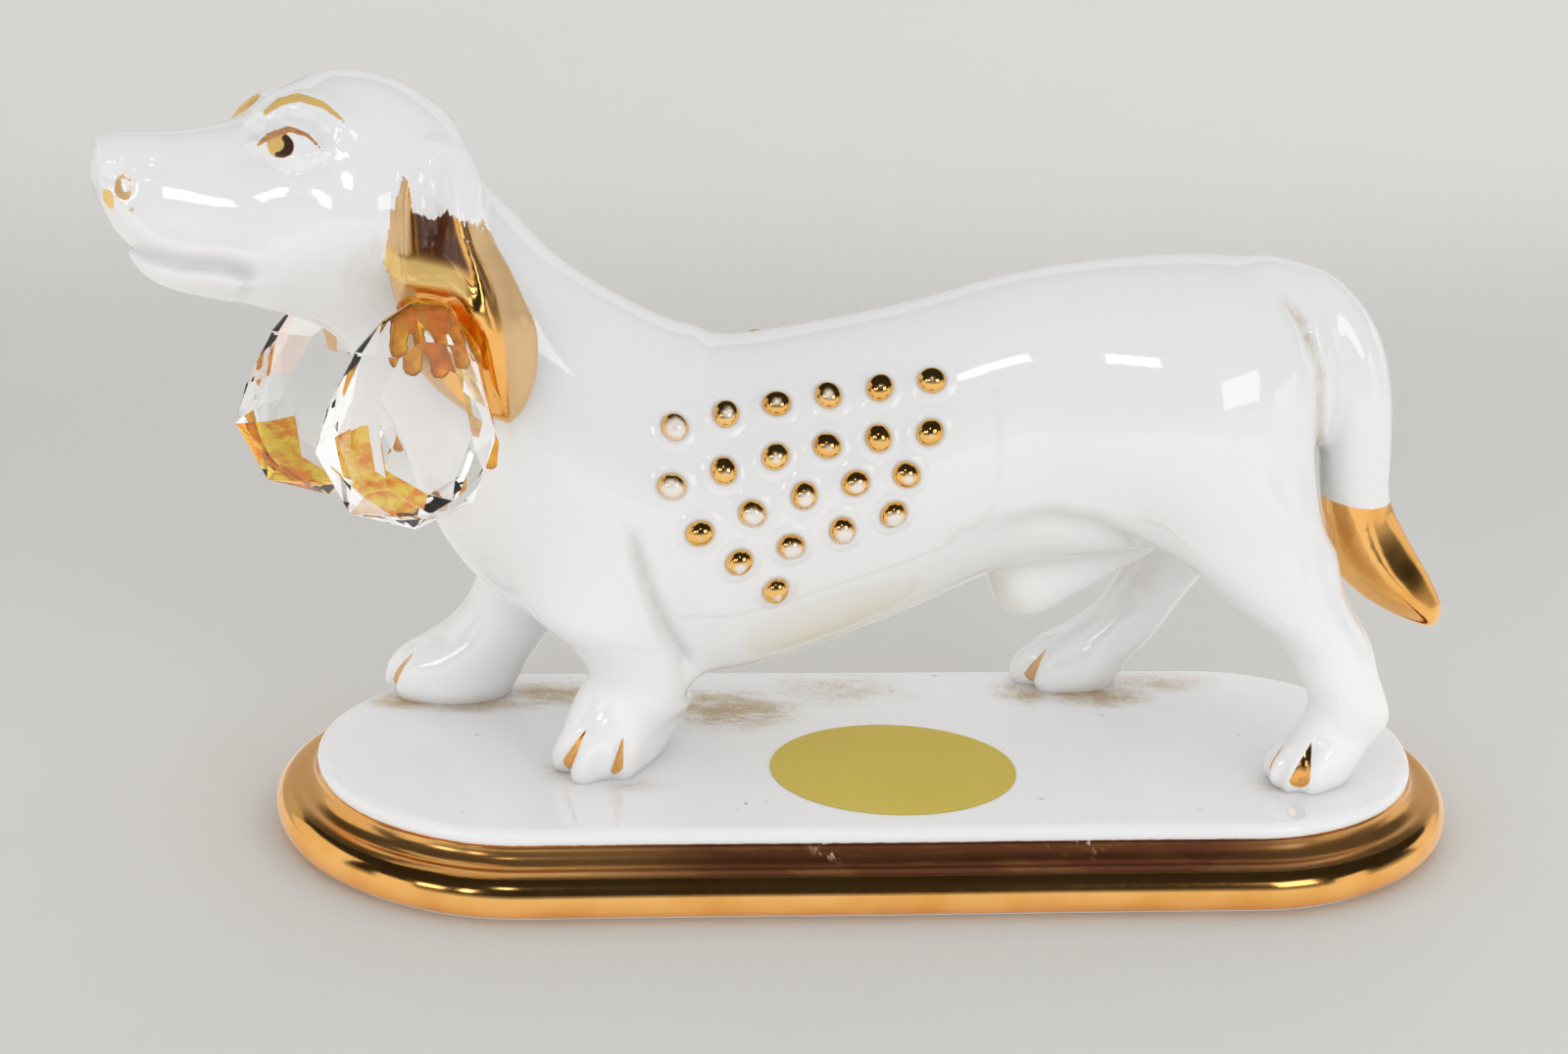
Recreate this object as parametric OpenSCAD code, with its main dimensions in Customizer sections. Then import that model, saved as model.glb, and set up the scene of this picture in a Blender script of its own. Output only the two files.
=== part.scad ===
// Glazed porcelain dachshund on an oval plinth with a gilded foot, a cut crystal glued to each ear.
// Millimetres, Z up. The origin is the middle of the plinth's underside.
// The dog looks along -X and its left side is at -Y.

/* [Plinth] */
// Length of the foot, end to end
plinth_length = 171.6; // [150:0.2:200]
// Depth of the foot, front to back
plinth_depth = 66.6; // [60:0.2:80]
// Height from the table to the top of the plate
plinth_height = 11.6; // [9:0.1:16]
// How far the round foot stands out past the plate
foot_reach = 5.8; // [4:0.1:8]
// Radius of the round foot moulding
foot_radius = 3.2; // [2:0.1:4]
// Radius of the plate's rounded edge
edge_radius = 1.5; // [0.8:0.1:2]
// Radius of the hollow cove under the plate
cove_radius = 3.6; // [2.4:0.1:3.8]
// How far the plate's edge overhangs the cove
edge_lip = 0.4; // [0.2:0.1:0.8]

/* [Stance] */
// How far the dog stands behind the middle of the plinth
set_back = 5; // [0:0.5:8]
// Distance of each forepaw from the dog's midline
fore_spread = 13; // [10:0.5:16]
// Distance of each hind paw from the dog's midline
hind_spread = 17.5; // [14:0.5:20]
// Half width of a forepaw
fore_paw = 6.6; // [5:0.1:8]
// Half length of a forepaw
fore_paw_reach = 9.6; // [8:0.1:11]
// Half width of a hind paw
hind_paw = 5.8; // [4.5:0.1:7]
// Half length of a hind paw
hind_paw_reach = 8.2; // [7:0.1:9.5]
// How far the left forepaw stands behind its shoulder
left_fore_step = 4; // [0:0.2:8]
// How far the right forepaw stands ahead of its shoulder
right_fore_step = 19; // [14:0.2:22]
// How far the left hind paw stands behind its hip
left_hind_step = 13.3; // [9:0.1:16]
// How far the right hind paw stands ahead of its hip
right_hind_step = 17; // [13:0.2:20]
// Turn of the left paws' toes towards the front of the plinth
toe_turn = 38; // [0:1:45]
// Radius of a toe
toe_radius = 2.3; // [1.6:0.1:3]

/* [Torso] */
// From the middle of the chest to the end of the rump
torso_length = 89; // [80:0.5:100]
// Height of the chest's middle above the plate
chest_rise = 36.5; // [33:0.5:42]
// Height of the chest
chest_height = 49; // [44:0.5:54]
// Width of the chest
chest_width = 41; // [36:0.5:46]
// Height of the waist's middle above the plate
waist_rise = 48.4; // [45:0.2:53]
// Height of the waist
waist_height = 43.6; // [39:0.2:48]
// Width of the waist
waist_width = 35; // [31:0.5:40]
// Height of the rump's middle above the plate
rump_rise = 52.4; // [49:0.2:57]
// Height of the rump
rump_height = 42; // [38:0.5:46]
// Width of the rump
rump_width = 39; // [35:0.5:44]
// Thickness of the cast wall
wall = 3.2; // [2.4:0.1:4.5]
// Bore of the firing vent under the belly
vent_bore = 3; // [2:0.1:4]

/* [Neck and head] */
// From the middle of the chest forward to the top of the neck
neck_reach = 46.5; // [42:0.5:52]
// From the middle of the chest up to the top of the neck
neck_lift = 36; // [32:0.5:40]
// Thickness of the neck's top, back to throat
neck_depth = 29; // [26:0.5:32]
// Width of the neck's top
neck_width = 26; // [22:0.5:29]
// Length of the head from the nose to the back of the skull
head_length = 53.5; // [48:0.5:59]
// Height of the skull
skull_height = 35; // [31:0.5:39]
// Width of the skull
skull_width = 32; // [29:0.5:35]
// Turn of the head to the dog's left
head_turn = 10; // [0:1:20]
// Tilt of the head to the dog's right
head_tilt = 20; // [5:1:25]

/* [Ears and tail] */
// Length of an ear from its root to its tip
ear_length = 37.5; // [32:0.5:42]
// Widest part of an ear
ear_width = 19; // [16:0.5:22]
// Thickness of an ear
ear_thickness = 4; // [3:0.1:5]
// How far back the tip of the left ear hangs from its root
ear_swing = 9.4; // [6:0.2:12]
// How far forward the tip of the right ear hangs from its root
right_ear_swing = 2.6; // [0:0.2:6]
// Drop of the tail from its root to its tip
tail_drop = 50; // [42:0.5:56]
// Thickness of the tail
tail_thickness = 10; // [8:0.2:12]
// How far the tail's tip stands behind its root
tail_sweep = 23.2; // [20:0.2:27]

/* [Dots] */
// Diameter of the foot of a dot
dot_foot = 5.4; // [4.6:0.1:6]
// Diameter of the round top of a dot
dot_top = 4; // [3:0.1:4.6]
// Height of a dot
dot_height = 2.2; // [1.6:0.1:3]
// Distance from dot to dot along a row
dot_pitch = 7.2; // [6.6:0.1:8]
// Film of slip under a dot
dot_seat = 0.2; // [0.1:0.05:0.4]

/* [Crystals] */
// Height of a crystal drop
crystal_height = 33; // [28:0.5:38]
// Width of a crystal drop
crystal_width = 24.5; // [20:0.5:28]
// Thickness of a crystal drop
crystal_depth = 11; // [8:0.5:14]
// Lean of a crystal's point towards the nose
crystal_lean = 6; // [0:1:12]
// How far a crystal's middle hangs ahead of the ear's widest part
crystal_ahead = 8.6; // [6:0.2:11]
// How far a crystal's middle hangs below the ear's widest part
crystal_below = 8; // [5:0.2:11]
// How much lower the right crystal hangs than the left
crystal_stagger = 5; // [0:0.5:8]
// Gap between an ear and its crystal, filled by glue in one place
glue_gap = 0.6; // [0.3:0.1:1]
// Diameter of the patch of glue behind a crystal
glue_patch = 7; // [5:0.5:9]

/* [Label] */
// Length of the foil label
label_length = 35.6; // [28:0.2:40]
// Depth of the foil label
label_depth = 30; // [24:0.2:34]
// Thickness of the foil label
label_thickness = 0.15; // [0.1:0.01:0.3]
// How far the label lies towards the tail from the middle of the plate
label_along = 2.2; // [-6:0.2:10]
// How far the label lies in front of the middle of the plate
label_front = 8; // [6:0.2:10]

/* [Hidden] */
$fn = 48;
chest_x = -21;
cw = chest_width / 2;
ch = chest_height / 2;
ww = waist_width / 2;
wh = waist_height / 2;
rw = rump_width / 2;
rh = rump_height / 2;
plate_length = plinth_length - 2 * foot_reach;
plate_depth = plinth_depth - 2 * foot_reach;

// Smooth curves and skins

// The value at place t on a smooth curve through the stations s.
function at(s, t) =
    let (n = len(s) - 1, i = max(0, min(floor(t), n - 1)), u = t - i,
        a = s[max(i - 1, 0)], b = s[i], c = s[i + 1], d = s[min(i + 2, n)])
    b + 0.5 * u * ((c - a) + u * ((2 * a - 5 * b + 4 * c - d) + u * (3 * b - a - 3 * c + d)));

// A station is [x, y, z, lean, half width, half size up, half size down].
// The point at angle a on the ring of station s.
function rim(s, a) =
    let (v = sin(a) * (sin(a) > 0 ? s[5] : s[6]))
    [s[0] + sin(s[3]) * v, s[1] + cos(a) * s[4], s[2] + cos(s[3]) * v];

// All the rings of a skin through stations s, with k steps from station to station.
function rings(s, k, n) =
    [for (j = [0 : (len(s) - 1) * k]) let (q = at(s, j / k)) [for (m = [0 : n - 1]) rim(q, -360 * m / n)]];

// A closed solid over a list of rings.
module skin(r) {
    n = len(r[0]);
    m = len(r);
    polyhedron(
        points = [for (q = r) for (p = q) p],
        faces = concat(
            [[for (i = [0 : n - 1]) i]],
            [for (j = [0 : m - 2]) for (i = [0 : n - 1])
                [j * n + i, (j + 1) * n + i, (j + 1) * n + (i + 1) % n]],
            [for (j = [0 : m - 2]) for (i = [0 : n - 1])
                [j * n + i, (j + 1) * n + (i + 1) % n, j * n + (i + 1) % n]],
            [[for (i = [n - 1 : -1 : 0]) (m - 1) * n + i]]));
}

// The dog's own frame stands on the plate, set back from the middle.
module on_plate() translate([0, set_back, plinth_height]) children();

// Plinth

// Half of the moulding's section, measured out from the middle of the rounded end:
// round foot, hollow cove, and a plate with a rounded edge that overhangs the cove a little.
module plinth_section() {
    r = plate_depth / 2;
    foot = r + foot_reach - foot_radius;
    under = plinth_height - edge_radius;
    square([foot, 2 * foot_radius]);
    translate([foot, foot_radius]) circle(foot_radius);
    difference() {
        translate([0, foot_radius]) square([r - edge_lip + cove_radius, under - foot_radius]);
        translate([r - edge_lip + cove_radius, under]) circle(cove_radius);
    }
    square([r - edge_radius, plinth_height]);
    translate([r - edge_radius, under]) circle(edge_radius);
}

module plinth() color([0.95, 0.95, 0.94]) {
    half = (plate_length - plate_depth) / 2;
    for (e = [0, 180]) rotate([0, 0, e]) translate([half, 0, 0])
        rotate([0, 0, -90]) rotate_extrude(angle = 180) plinth_section();
    for (e = [0, 180]) rotate([0, 0, e]) translate([-half, 0, 0])
        rotate([90, 0, 90]) linear_extrude(2 * half) plinth_section();
}

// Torso: a hollow casting from the rump to the top of the neck

neck_top = [chest_x - neck_reach, chest_rise + neck_lift];
torso_stations = let (x = chest_x, L = torso_length, n = neck_top, r = rump_rise,
        g = neck_reach, l = neck_lift, z = chest_rise, nd = neck_depth / 2, nw = neck_width / 2) [
    [x + L, 0, r + 3.8, 0, 0.6, 0.6, 0.6],
    [x + 0.985 * L, 0, r + 3.8, 0, 0.34 * rw, 0.28 * rh, 0.28 * rh],
    [x + 0.95 * L, 0, r + 3.7, 0, 0.6 * rw, 0.5 * rh, 0.52 * rh],
    [x + 0.89 * L, 0, r + 3.2, 0, 0.82 * rw, 0.72 * rh, 0.74 * rh],
    [x + 0.8 * L, 0, r + 1.8, 0, 0.96 * rw, 0.9 * rh, 0.9 * rh],
    [x + 0.7 * L, 0, r, 0, rw, rh, rh],
    [x + 0.56 * L, 0, (r + waist_rise) / 2, 0, (rw + ww) / 2, (rh + wh) / 2 + 0.6, (rh + wh) / 2],
    [x + 0.42 * L, 0, waist_rise, 0, ww, wh, wh],
    [x + 0.24 * L, 0, (waist_rise + z) / 2, 0, (ww + cw) / 2, (wh + ch) / 2 - 0.3, (wh + ch) / 2],
    [x, 0, z, 0, cw, ch, ch],
    [x - 0.22 * g, 0, z + 0.03 * l, 9, 0.985 * cw, 1.02 * ch, 0.99 * ch],
    [x - 0.4 * g, 0, z + 0.13 * l, 24, 0.93 * cw, 0.97 * ch, 0.98 * ch],
    [x - 0.58 * g, 0, z + 0.32 * l, 39, 0.84 * cw, 0.885 * ch, 0.9 * ch],
    [x - 0.8 * g, 0, z + 0.68 * l, 48, (nw + 0.7 * cw) / 2, (nd + 0.74 * ch) / 2, (nd + 0.74 * ch) / 2],
    [n[0], 0, n[1], 50, nw, nd, nd],
    [n[0] - 3.6, 0, n[1] + 3.8, 50, nw - 3, nd - 3, nd - 3]];

function thinner(s) = [s[0], s[1], s[2], s[3], max(0.6, s[4] - wall), max(0.6, s[5] - wall), max(0.6, s[6] - wall)];

cavity_stations = concat(
    [torso_stations[0] - [wall, 0, 0, 0, 0, 0, 0]],
    [for (i = [2 : len(torso_stations) - 1]) thinner(torso_stations[i])]);

module torso_form() skin(rings(torso_stations, 3, 28));

// The rounded fold of skin under the belly, in front of the hind legs.
module belly_fold() {
    s = at(torso_stations, 6.25);
    hull() {
        translate([s[0] - 2.6, 0, s[2] - s[6] - 2]) sphere(5, $fn = 20);
        translate([s[0] + 10, 0, s[2] - s[6] + 1.6]) sphere(3, $fn = 20);
    }
}

module torso() color([0.96, 0.96, 0.96]) on_plate() difference() {
    union() {
        skin(concat(rings(torso_stations, 3, 28),
            let (c = rings(cavity_stations, 2, 28)) [for (j = [len(c) - 1 : -1 : 0]) c[j]]));
        belly_fold();
    }
    translate([8, 0, 0]) cylinder(h = waist_rise, d = vent_bore);
}

// Head: a solid casting whose socket sits over the top of the neck

function turned(p) =
    let (y = p[1] * cos(head_tilt) + p[2] * sin(head_tilt), z = p[2] * cos(head_tilt) - p[1] * sin(head_tilt))
    [neck_top[0] + 1.5 + p[0] * cos(head_turn) - y * sin(head_turn),
        p[0] * sin(head_turn) + y * cos(head_turn), neck_top[1] + 1.9 + z];

head_stations = let (L = head_length, h = skull_height / 2, w = skull_width / 2, e = 0.16 * L) [
    [e, 0, 0.54 * h, 0, 0.6, 0.6, 0.6],
    [e - 0.05 * L, 0, 0.51 * h, 0, 0.66 * w, 0.58 * h, 0.58 * h],
    [e - 0.15 * L, 0, 0.47 * h, 0, 0.93 * w, 0.86 * h, 0.86 * h],
    [e - 0.27 * L, 0, 0.42 * h, 0, w, h, 0.98 * h],
    [e - 0.4 * L, 0, 0.39 * h, 0, 0.96 * w, h, h],
    [e - 0.53 * L, 0, 0.37 * h, 0, 0.84 * w, 0.9 * h, 0.88 * h],
    [e - 0.63 * L, 0, 0.35 * h, 0, 0.68 * w, 0.72 * h, 0.73 * h],
    [e - 0.74 * L, 0, 0.39 * h, 0, 0.56 * w, 0.61 * h, 0.62 * h],
    [e - 0.85 * L, 0, 0.48 * h, 0, 0.48 * w, 0.51 * h, 0.53 * h],
    [e - 0.94 * L, 0, 0.62 * h, 0, 0.38 * w, 0.38 * h, 0.42 * h],
    [e - 0.985 * L, 0, 0.7 * h, 0, 0.24 * w, 0.24 * h, 0.24 * h],
    [e - L, 0, 0.71 * h, 0, 0.6, 0.6, 0.6]];

module head_form() skin([for (r = rings(head_stations, 2, 24)) [for (p = r) turned(p)]]);

module head() color([0.96, 0.96, 0.96]) on_plate() difference() {
    head_form();
    torso_form();
}

// Ears: flat drops that hang from the skull against the neck

function ear_stations(side) =
    let (r = turned([0, side * 0.46 * skull_width, 0.4 * skull_height]), L = ear_length, w = ear_width / 2,
        b = side < 0 ? ear_swing : -right_ear_swing, t = ear_thickness / 2,
        y = side * (neck_width / 2 + 2.1 * t), m = turned([0, side * (skull_width / 2 + 0.5 * t), 0.17 * skull_height]))
    [[r[0] + b, y, r[2] - L, 90, 0.3, 0.5, 0.5],
        [r[0] + 0.94 * b, y, r[2] - 0.975 * L, 90, 0.6 * t, 0.26 * w, 0.26 * w],
        [r[0] + 0.81 * b, y, r[2] - 0.91 * L, 90, 0.9 * t, 0.52 * w, 0.52 * w],
        [r[0] + 0.6 * b, y, r[2] - 0.79 * L, 90, t, 0.84 * w, 0.84 * w],
        [r[0] + 0.4 * b, y, r[2] - 0.61 * L, 90, t, w, w],
        [r[0] + 0.21 * b, (y + m[1]) / 2, r[2] - 0.44 * L, 90, t, 0.9 * w, 0.9 * w],
        [r[0] + 0.03 * b, m[1], r[2] - 0.28 * L, 90, t, 0.68 * w, 0.68 * w],
        [r[0] - 0.06 * b, (r[1] + m[1]) / 2, r[2] - 0.13 * L, 90, t, 0.6 * w, 0.6 * w],
        [r[0] - 0.08 * b, r[1], r[2] - 0.03 * L, 90, 0.8 * t, 0.46 * w, 0.46 * w],
        [r[0] - 0.08 * b, r[1], r[2], 90, 0.3, 0.5, 0.5]];

module ear_form(side) skin(rings(ear_stations(side), 2, 16));

module ear(side) color([0.95, 0.9, 0.8]) on_plate() difference() {
    ear_form(side);
    head_form();
    torso_form();
}

module left_ear() ear(-1);
module right_ear() ear(1);

// Legs: from the plate up into the torso

// The list step gives how far each ring stands behind the joint, from the paw up.
function foreleg_stations(side, step) =
    let (y = side * fore_spread, w = fore_paw, f = fore_paw_reach, h = chest_rise, x = chest_x - 0.43 * neck_reach) [
    [x + step[0], y, 0, 90, 0.86 * w, 0.92 * f, 0.88 * f],
    [x + step[0], y, 0.05 * h, 90, w, 1.02 * f, 0.98 * f],
    [x + step[1], y, 0.16 * h, 90, w, 0.99 * f, 0.96 * f],
    [x + step[2], y, 0.29 * h, 90, 0.94 * w, 0.79 * f, 0.81 * f],
    [x + step[3], y, 0.4 * h, 90, 0.92 * w, 0.73 * f, 0.73 * f],
    [x + step[4], y, 0.53 * h, 90, w, 0.83 * f, 0.81 * f],
    [x + step[5], y, 0.7 * h, 90, 1.1 * w, 0.94 * f, 0.96 * f],
    [x, 0.85 * y, 0.95 * h, 90, 1.05 * w, 0.98 * f, 0.98 * f],
    [x + 0.2 * f, 0.62 * y, 1.1 * h, 90, 0.7 * w, 0.73 * f, 0.73 * f]];

function hindleg_stations(side, step) =
    let (y = side * hind_spread, w = hind_paw, f = hind_paw_reach, h = rump_rise, x = chest_x + 0.8 * torso_length) [
    [x + step[0], y, 0, 90, 0.86 * w, 0.88 * f, 0.88 * f],
    [x + step[0], y, 0.03 * h, 90, w, f, f],
    [x + step[1], y, 0.09 * h, 90, w, f, f],
    [x + step[2], y, 0.15 * h, 90, 0.94 * w, 0.88 * f, 0.88 * f],
    [x + step[3], y, 0.23 * h, 90, 0.88 * w, 0.71 * f, 0.71 * f],
    [x + step[4], y, 0.32 * h, 90, 0.92 * w, 0.71 * f, 0.71 * f],
    [x + step[5], 0.94 * y, 0.42 * h, 90, 1.06 * w, 0.83 * f, 0.83 * f],
    [x + step[6], 0.89 * y, 0.55 * h, 90, 1.2 * w, 1.24 * f, 1.24 * f],
    [x + step[7], 0.83 * y, 0.7 * h, 90, 1.26 * w, 1.7 * f, 1.7 * f],
    [x, 0.77 * y, 0.88 * h, 90, 1.2 * w, 1.7 * f, 1.7 * f],
    [x, 0.6 * y, 1.06 * h, 90, 0.7 * w, 1.1 * f, 1.1 * f]];

// Four toes, each of two rounded bones, round the front of the paw's ring s, turned by this angle.
module toes(s, turn) translate([s[0], s[1], 0]) rotate([0, 0, turn]) {
    r = toe_radius;
    front = 0.4 + 1 / norm([cos(turn) / s[6], sin(turn) / s[4]]);
    for (k = [-1.5 : 1 : 1.5]) let (v = k * 0.5 * s[4], b = abs(k) * 0.4 * r - front) {
        hull() {
            translate([b + r * 0.7, v, r * 0.9]) sphere(r * 0.9, $fn = 12);
            translate([b + r * 2, v, r * 1.35]) sphere(r, $fn = 12);
        }
        hull() {
            translate([b + r * 2, v, r * 1.35]) sphere(r, $fn = 12);
            translate([b + r * 3.4, v, r * 1.7]) sphere(r * 0.9, $fn = 12);
        }
    }
}

module leg(stations, turn) color([0.96, 0.96, 0.96]) on_plate() difference() {
    union() {
        skin(rings(stations, 2, 20));
        toes(stations[1], turn);
    }
    torso_form();
}

module left_foreleg() leg(foreleg_stations(-1, left_fore_step * [0.95, 1, 1.35, 1.45, 1, 0]), toe_turn);
module right_foreleg() leg(foreleg_stations(1, -right_fore_step * [1, 0.93, 0.67, 0.54, 0.41, 0.26]), 0);
module left_hindleg()
    leg(hindleg_stations(-1, left_hind_step * [1, 1.1, 1.24, 1.27, 1.13, 0.95, 0.53, 0.19]), toe_turn);
module right_hindleg() leg(hindleg_stations(1, -right_hind_step * [1, 0.9, 0.67, 0.46, 0.28, 0.12, 0, 0]), 0);

// Tail: hangs from the end of the back

tail_stations = let (x = chest_x + 0.89 * torso_length, z = rump_rise + 0.71 * rh, d = tail_drop, g = tail_sweep,
        r = tail_thickness / 2) [
    [x - 0.04 * g, z, 1.24 * r],
    [x + 0.2 * g, z - 0.02 * d, 1.18 * r],
    [x + 0.38 * g, z - 0.12 * d, 1.04 * r],
    [x + 0.46 * g, z - 0.26 * d, r],
    [x + 0.49 * g, z - 0.43 * d, r],
    [x + 0.52 * g, z - 0.59 * d, 0.98 * r],
    [x + 0.62 * g, z - 0.73 * d, 0.92 * r],
    [x + 0.75 * g, z - 0.85 * d, 0.8 * r],
    [x + 0.89 * g, z - 0.945 * d, 0.56 * r],
    [x + g, z - d, 0.3 * r]];

module tail() color([0.96, 0.96, 0.96]) on_plate() difference() {
    for (i = [0 : len(tail_stations) - 2]) hull() for (s = [tail_stations[i], tail_stations[i + 1]])
        translate([s[0], 0, s[1]]) sphere(s[2], $fn = 18);
    torso_form();
}

// Dots: drops of slip set in rows on each flank

// Each row as [count, first dot's x from the middle of the chest, height of the first and of the last dot
// as shares of the chest's half height, bow of the row].
dot_rows = [
    [6, -10.8, 0.7, 0.94, 0],
    [6, -11.2, 0.4, 0.68, 0.04],
    [5, -7.2, 0.14, 0.45, 0.05],
    [4, -1.6, -0.03, 0.22, 0],
    [1, 3.8, -0.22, -0.22, 0]];

// The place along the torso where the ring point at angle a has this x.
function place_at(x, a, lo = 6, hi = 12, n = 14) = let (m = (lo + hi) / 2)
    n == 0 ? m : rim(at(torso_stations, m), a)[0] > x ? place_at(x, a, m, hi, n - 1) : place_at(x, a, lo, m, n - 1);

// The ring angle where the flank at x has this height.
function angle_at(x, z, lo = 95, hi = 250, n = 14) = let (m = (lo + hi) / 2)
    n == 0 ? m : rim(at(torso_stations, place_at(x, m)), m)[2] > z ? angle_at(x, z, m, hi, n - 1)
        : angle_at(x, z, lo, m, n - 1);

module dot() rotate_extrude($fn = 32) {
    t = dot_top / 2;
    translate([0, dot_height - t]) intersection() {
        circle(t);
        translate([0, t - dot_height]) square([t, dot_height]);
    }
    polygon([[0, 0], [dot_foot / 2, 0], [t, dot_height - t + 0.4 * t], [0, dot_height - t + 0.4 * t]]);
}

module dots() for (d = dot_rows, i = [0 : d[0] - 1]) {
    u = i / max(1, d[0] - 1);
    x = chest_x + d[1] + i * dot_pitch;
    a = angle_at(x, chest_rise + ch * (d[2] + u * (d[3] - d[2]) + d[4] * sin(180 * u)));
    t = place_at(x, a);
    along = rim(at(torso_stations, t + 0.02), a) - rim(at(torso_stations, t - 0.02), a);
    round = rim(at(torso_stations, t), a + 1) - rim(at(torso_stations, t), a - 1);
    n = cross(along, round);
    translate(rim(at(torso_stations, t), a) + dot_seat * n / norm(n))
        rotate([0, acos(n[2] / norm(n)), atan2(n[1], n[0])]) dot();
}

module left_dots() color([0.85, 0.66, 0.3]) on_plate() dots();
module right_dots() color([0.85, 0.66, 0.3]) on_plate() mirror([0, 1, 0]) dots();

// Crystals: faceted drops, glued to the outer face of each ear

crystal_outline = [[0, 0.5], [0.17, 0.46], [0.33, 0.26], [0.45, 0.03], [0.5, -0.15], [0.42, -0.33], [0.22, -0.45],
    [0, -0.5], [-0.22, -0.45], [-0.42, -0.33], [-0.5, -0.15], [-0.45, 0.03], [-0.33, 0.26], [-0.17, 0.46]];

function crystal_place(side) = let (s = at(ear_stations(side), 3.6))
    [s[0] - crystal_ahead, s[1] + side * (ear_thickness / 2 + glue_gap + crystal_depth / 2),
        s[2] - crystal_below - max(0, side) * crystal_stagger];

module crystal_form(side) {
    n = len(crystal_outline);
    translate(crystal_place(side)) rotate([90, 0, 0]) rotate([0, 0, -crystal_lean]) hull()
        for (f = [[0, 1], [0.3, 0.8], [0.5, 0.44]], e = [-1, 1])
        translate([0, 0, e * f[0] * crystal_depth - 0.01]) linear_extrude(0.02)
            polygon([for (i = [0 : n - 1]) let (a = crystal_outline[i], b = crystal_outline[(i + 1) % n],
                p = f[0] == 0.3 ? (a + b) / 2 : a) f[1] * [p[0] * crystal_width, p[1] * crystal_height]]);
}

module crystal(side) color([0.9, 0.93, 0.95, 0.5]) on_plate() crystal_form(side);
module left_crystal() crystal(-1);
module right_crystal() crystal(1);

// Glue: the amber patch between an ear and its crystal

module glue(side) color([0.85, 0.55, 0.15]) on_plate() {
    s = at(ear_stations(side), 3.9);
    c = crystal_place(side);
    difference() {
        hull() {
            translate([s[0] - 3, s[1] + side * ear_thickness / 2, s[2]])
                scale([1, 0.4, 1]) sphere(d = glue_patch, $fn = 20);
            translate([c[0] + 3, c[1] - side * 0.3 * crystal_depth, c[2] + 0.26 * crystal_height])
                scale([1, 0.4, 1]) sphere(d = glue_patch, $fn = 20);
        }
        ear_form(side);
        crystal_form(side);
    }
}

module left_glue() glue(-1);
module right_glue() glue(1);

// Label: a bare foil oval on the plate

module label() color([0.85, 0.78, 0.3]) translate([label_along, -label_front, plinth_height])
    scale([label_length, label_depth, 1]) cylinder(h = label_thickness, d = 1);

plinth();
torso();
head();
left_ear();
right_ear();
left_foreleg();
right_foreleg();
left_hindleg();
right_hindleg();
tail();
left_dots();
right_dots();
left_crystal();
right_crystal();
left_glue();
right_glue();
label();
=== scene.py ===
"""A glazed porcelain dachshund on an oval plinth, with gilding and a cut crystal glued to each ear."""

import math

import bmesh
import bpy
import numpy as np
from mathutils import Matrix, Vector


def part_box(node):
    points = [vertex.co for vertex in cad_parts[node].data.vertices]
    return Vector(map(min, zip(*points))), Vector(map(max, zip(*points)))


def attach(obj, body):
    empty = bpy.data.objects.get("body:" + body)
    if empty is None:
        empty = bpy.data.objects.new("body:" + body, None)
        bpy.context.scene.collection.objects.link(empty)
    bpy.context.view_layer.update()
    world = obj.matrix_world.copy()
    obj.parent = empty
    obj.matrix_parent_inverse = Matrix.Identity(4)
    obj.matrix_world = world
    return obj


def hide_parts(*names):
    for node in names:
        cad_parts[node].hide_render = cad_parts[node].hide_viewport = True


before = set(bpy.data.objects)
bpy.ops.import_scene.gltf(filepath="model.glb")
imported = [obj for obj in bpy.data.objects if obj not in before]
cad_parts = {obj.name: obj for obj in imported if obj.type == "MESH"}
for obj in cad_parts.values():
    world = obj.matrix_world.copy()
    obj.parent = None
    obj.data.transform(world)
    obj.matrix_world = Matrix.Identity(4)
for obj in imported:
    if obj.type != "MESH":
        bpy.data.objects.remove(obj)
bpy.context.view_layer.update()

# Plinth
# A flat moulded casting of porcelain: a white plate with a rounded edge over a hollow cove and a round foot.
# The cove and the foot are gilded over the glaze, and the underside is wiped bare where it stood in the kiln.

MM = 0.001
plinth_top = 11.6
plate_radius = 27.5
plate_half_run = 52.5
foot_radius = 3.48
foot_centre = 2.3
cove_radius = 2.65
edge_radius = 1.5
edge_height = plinth_top - edge_radius

porcelain_white = (0.755, 0.757, 0.762)
gold_film = (0.96, 0.53, 0.17)
bare_clay = (0.72, 0.70, 0.66)
dust_brown = (0.47, 0.335, 0.165)


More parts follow.
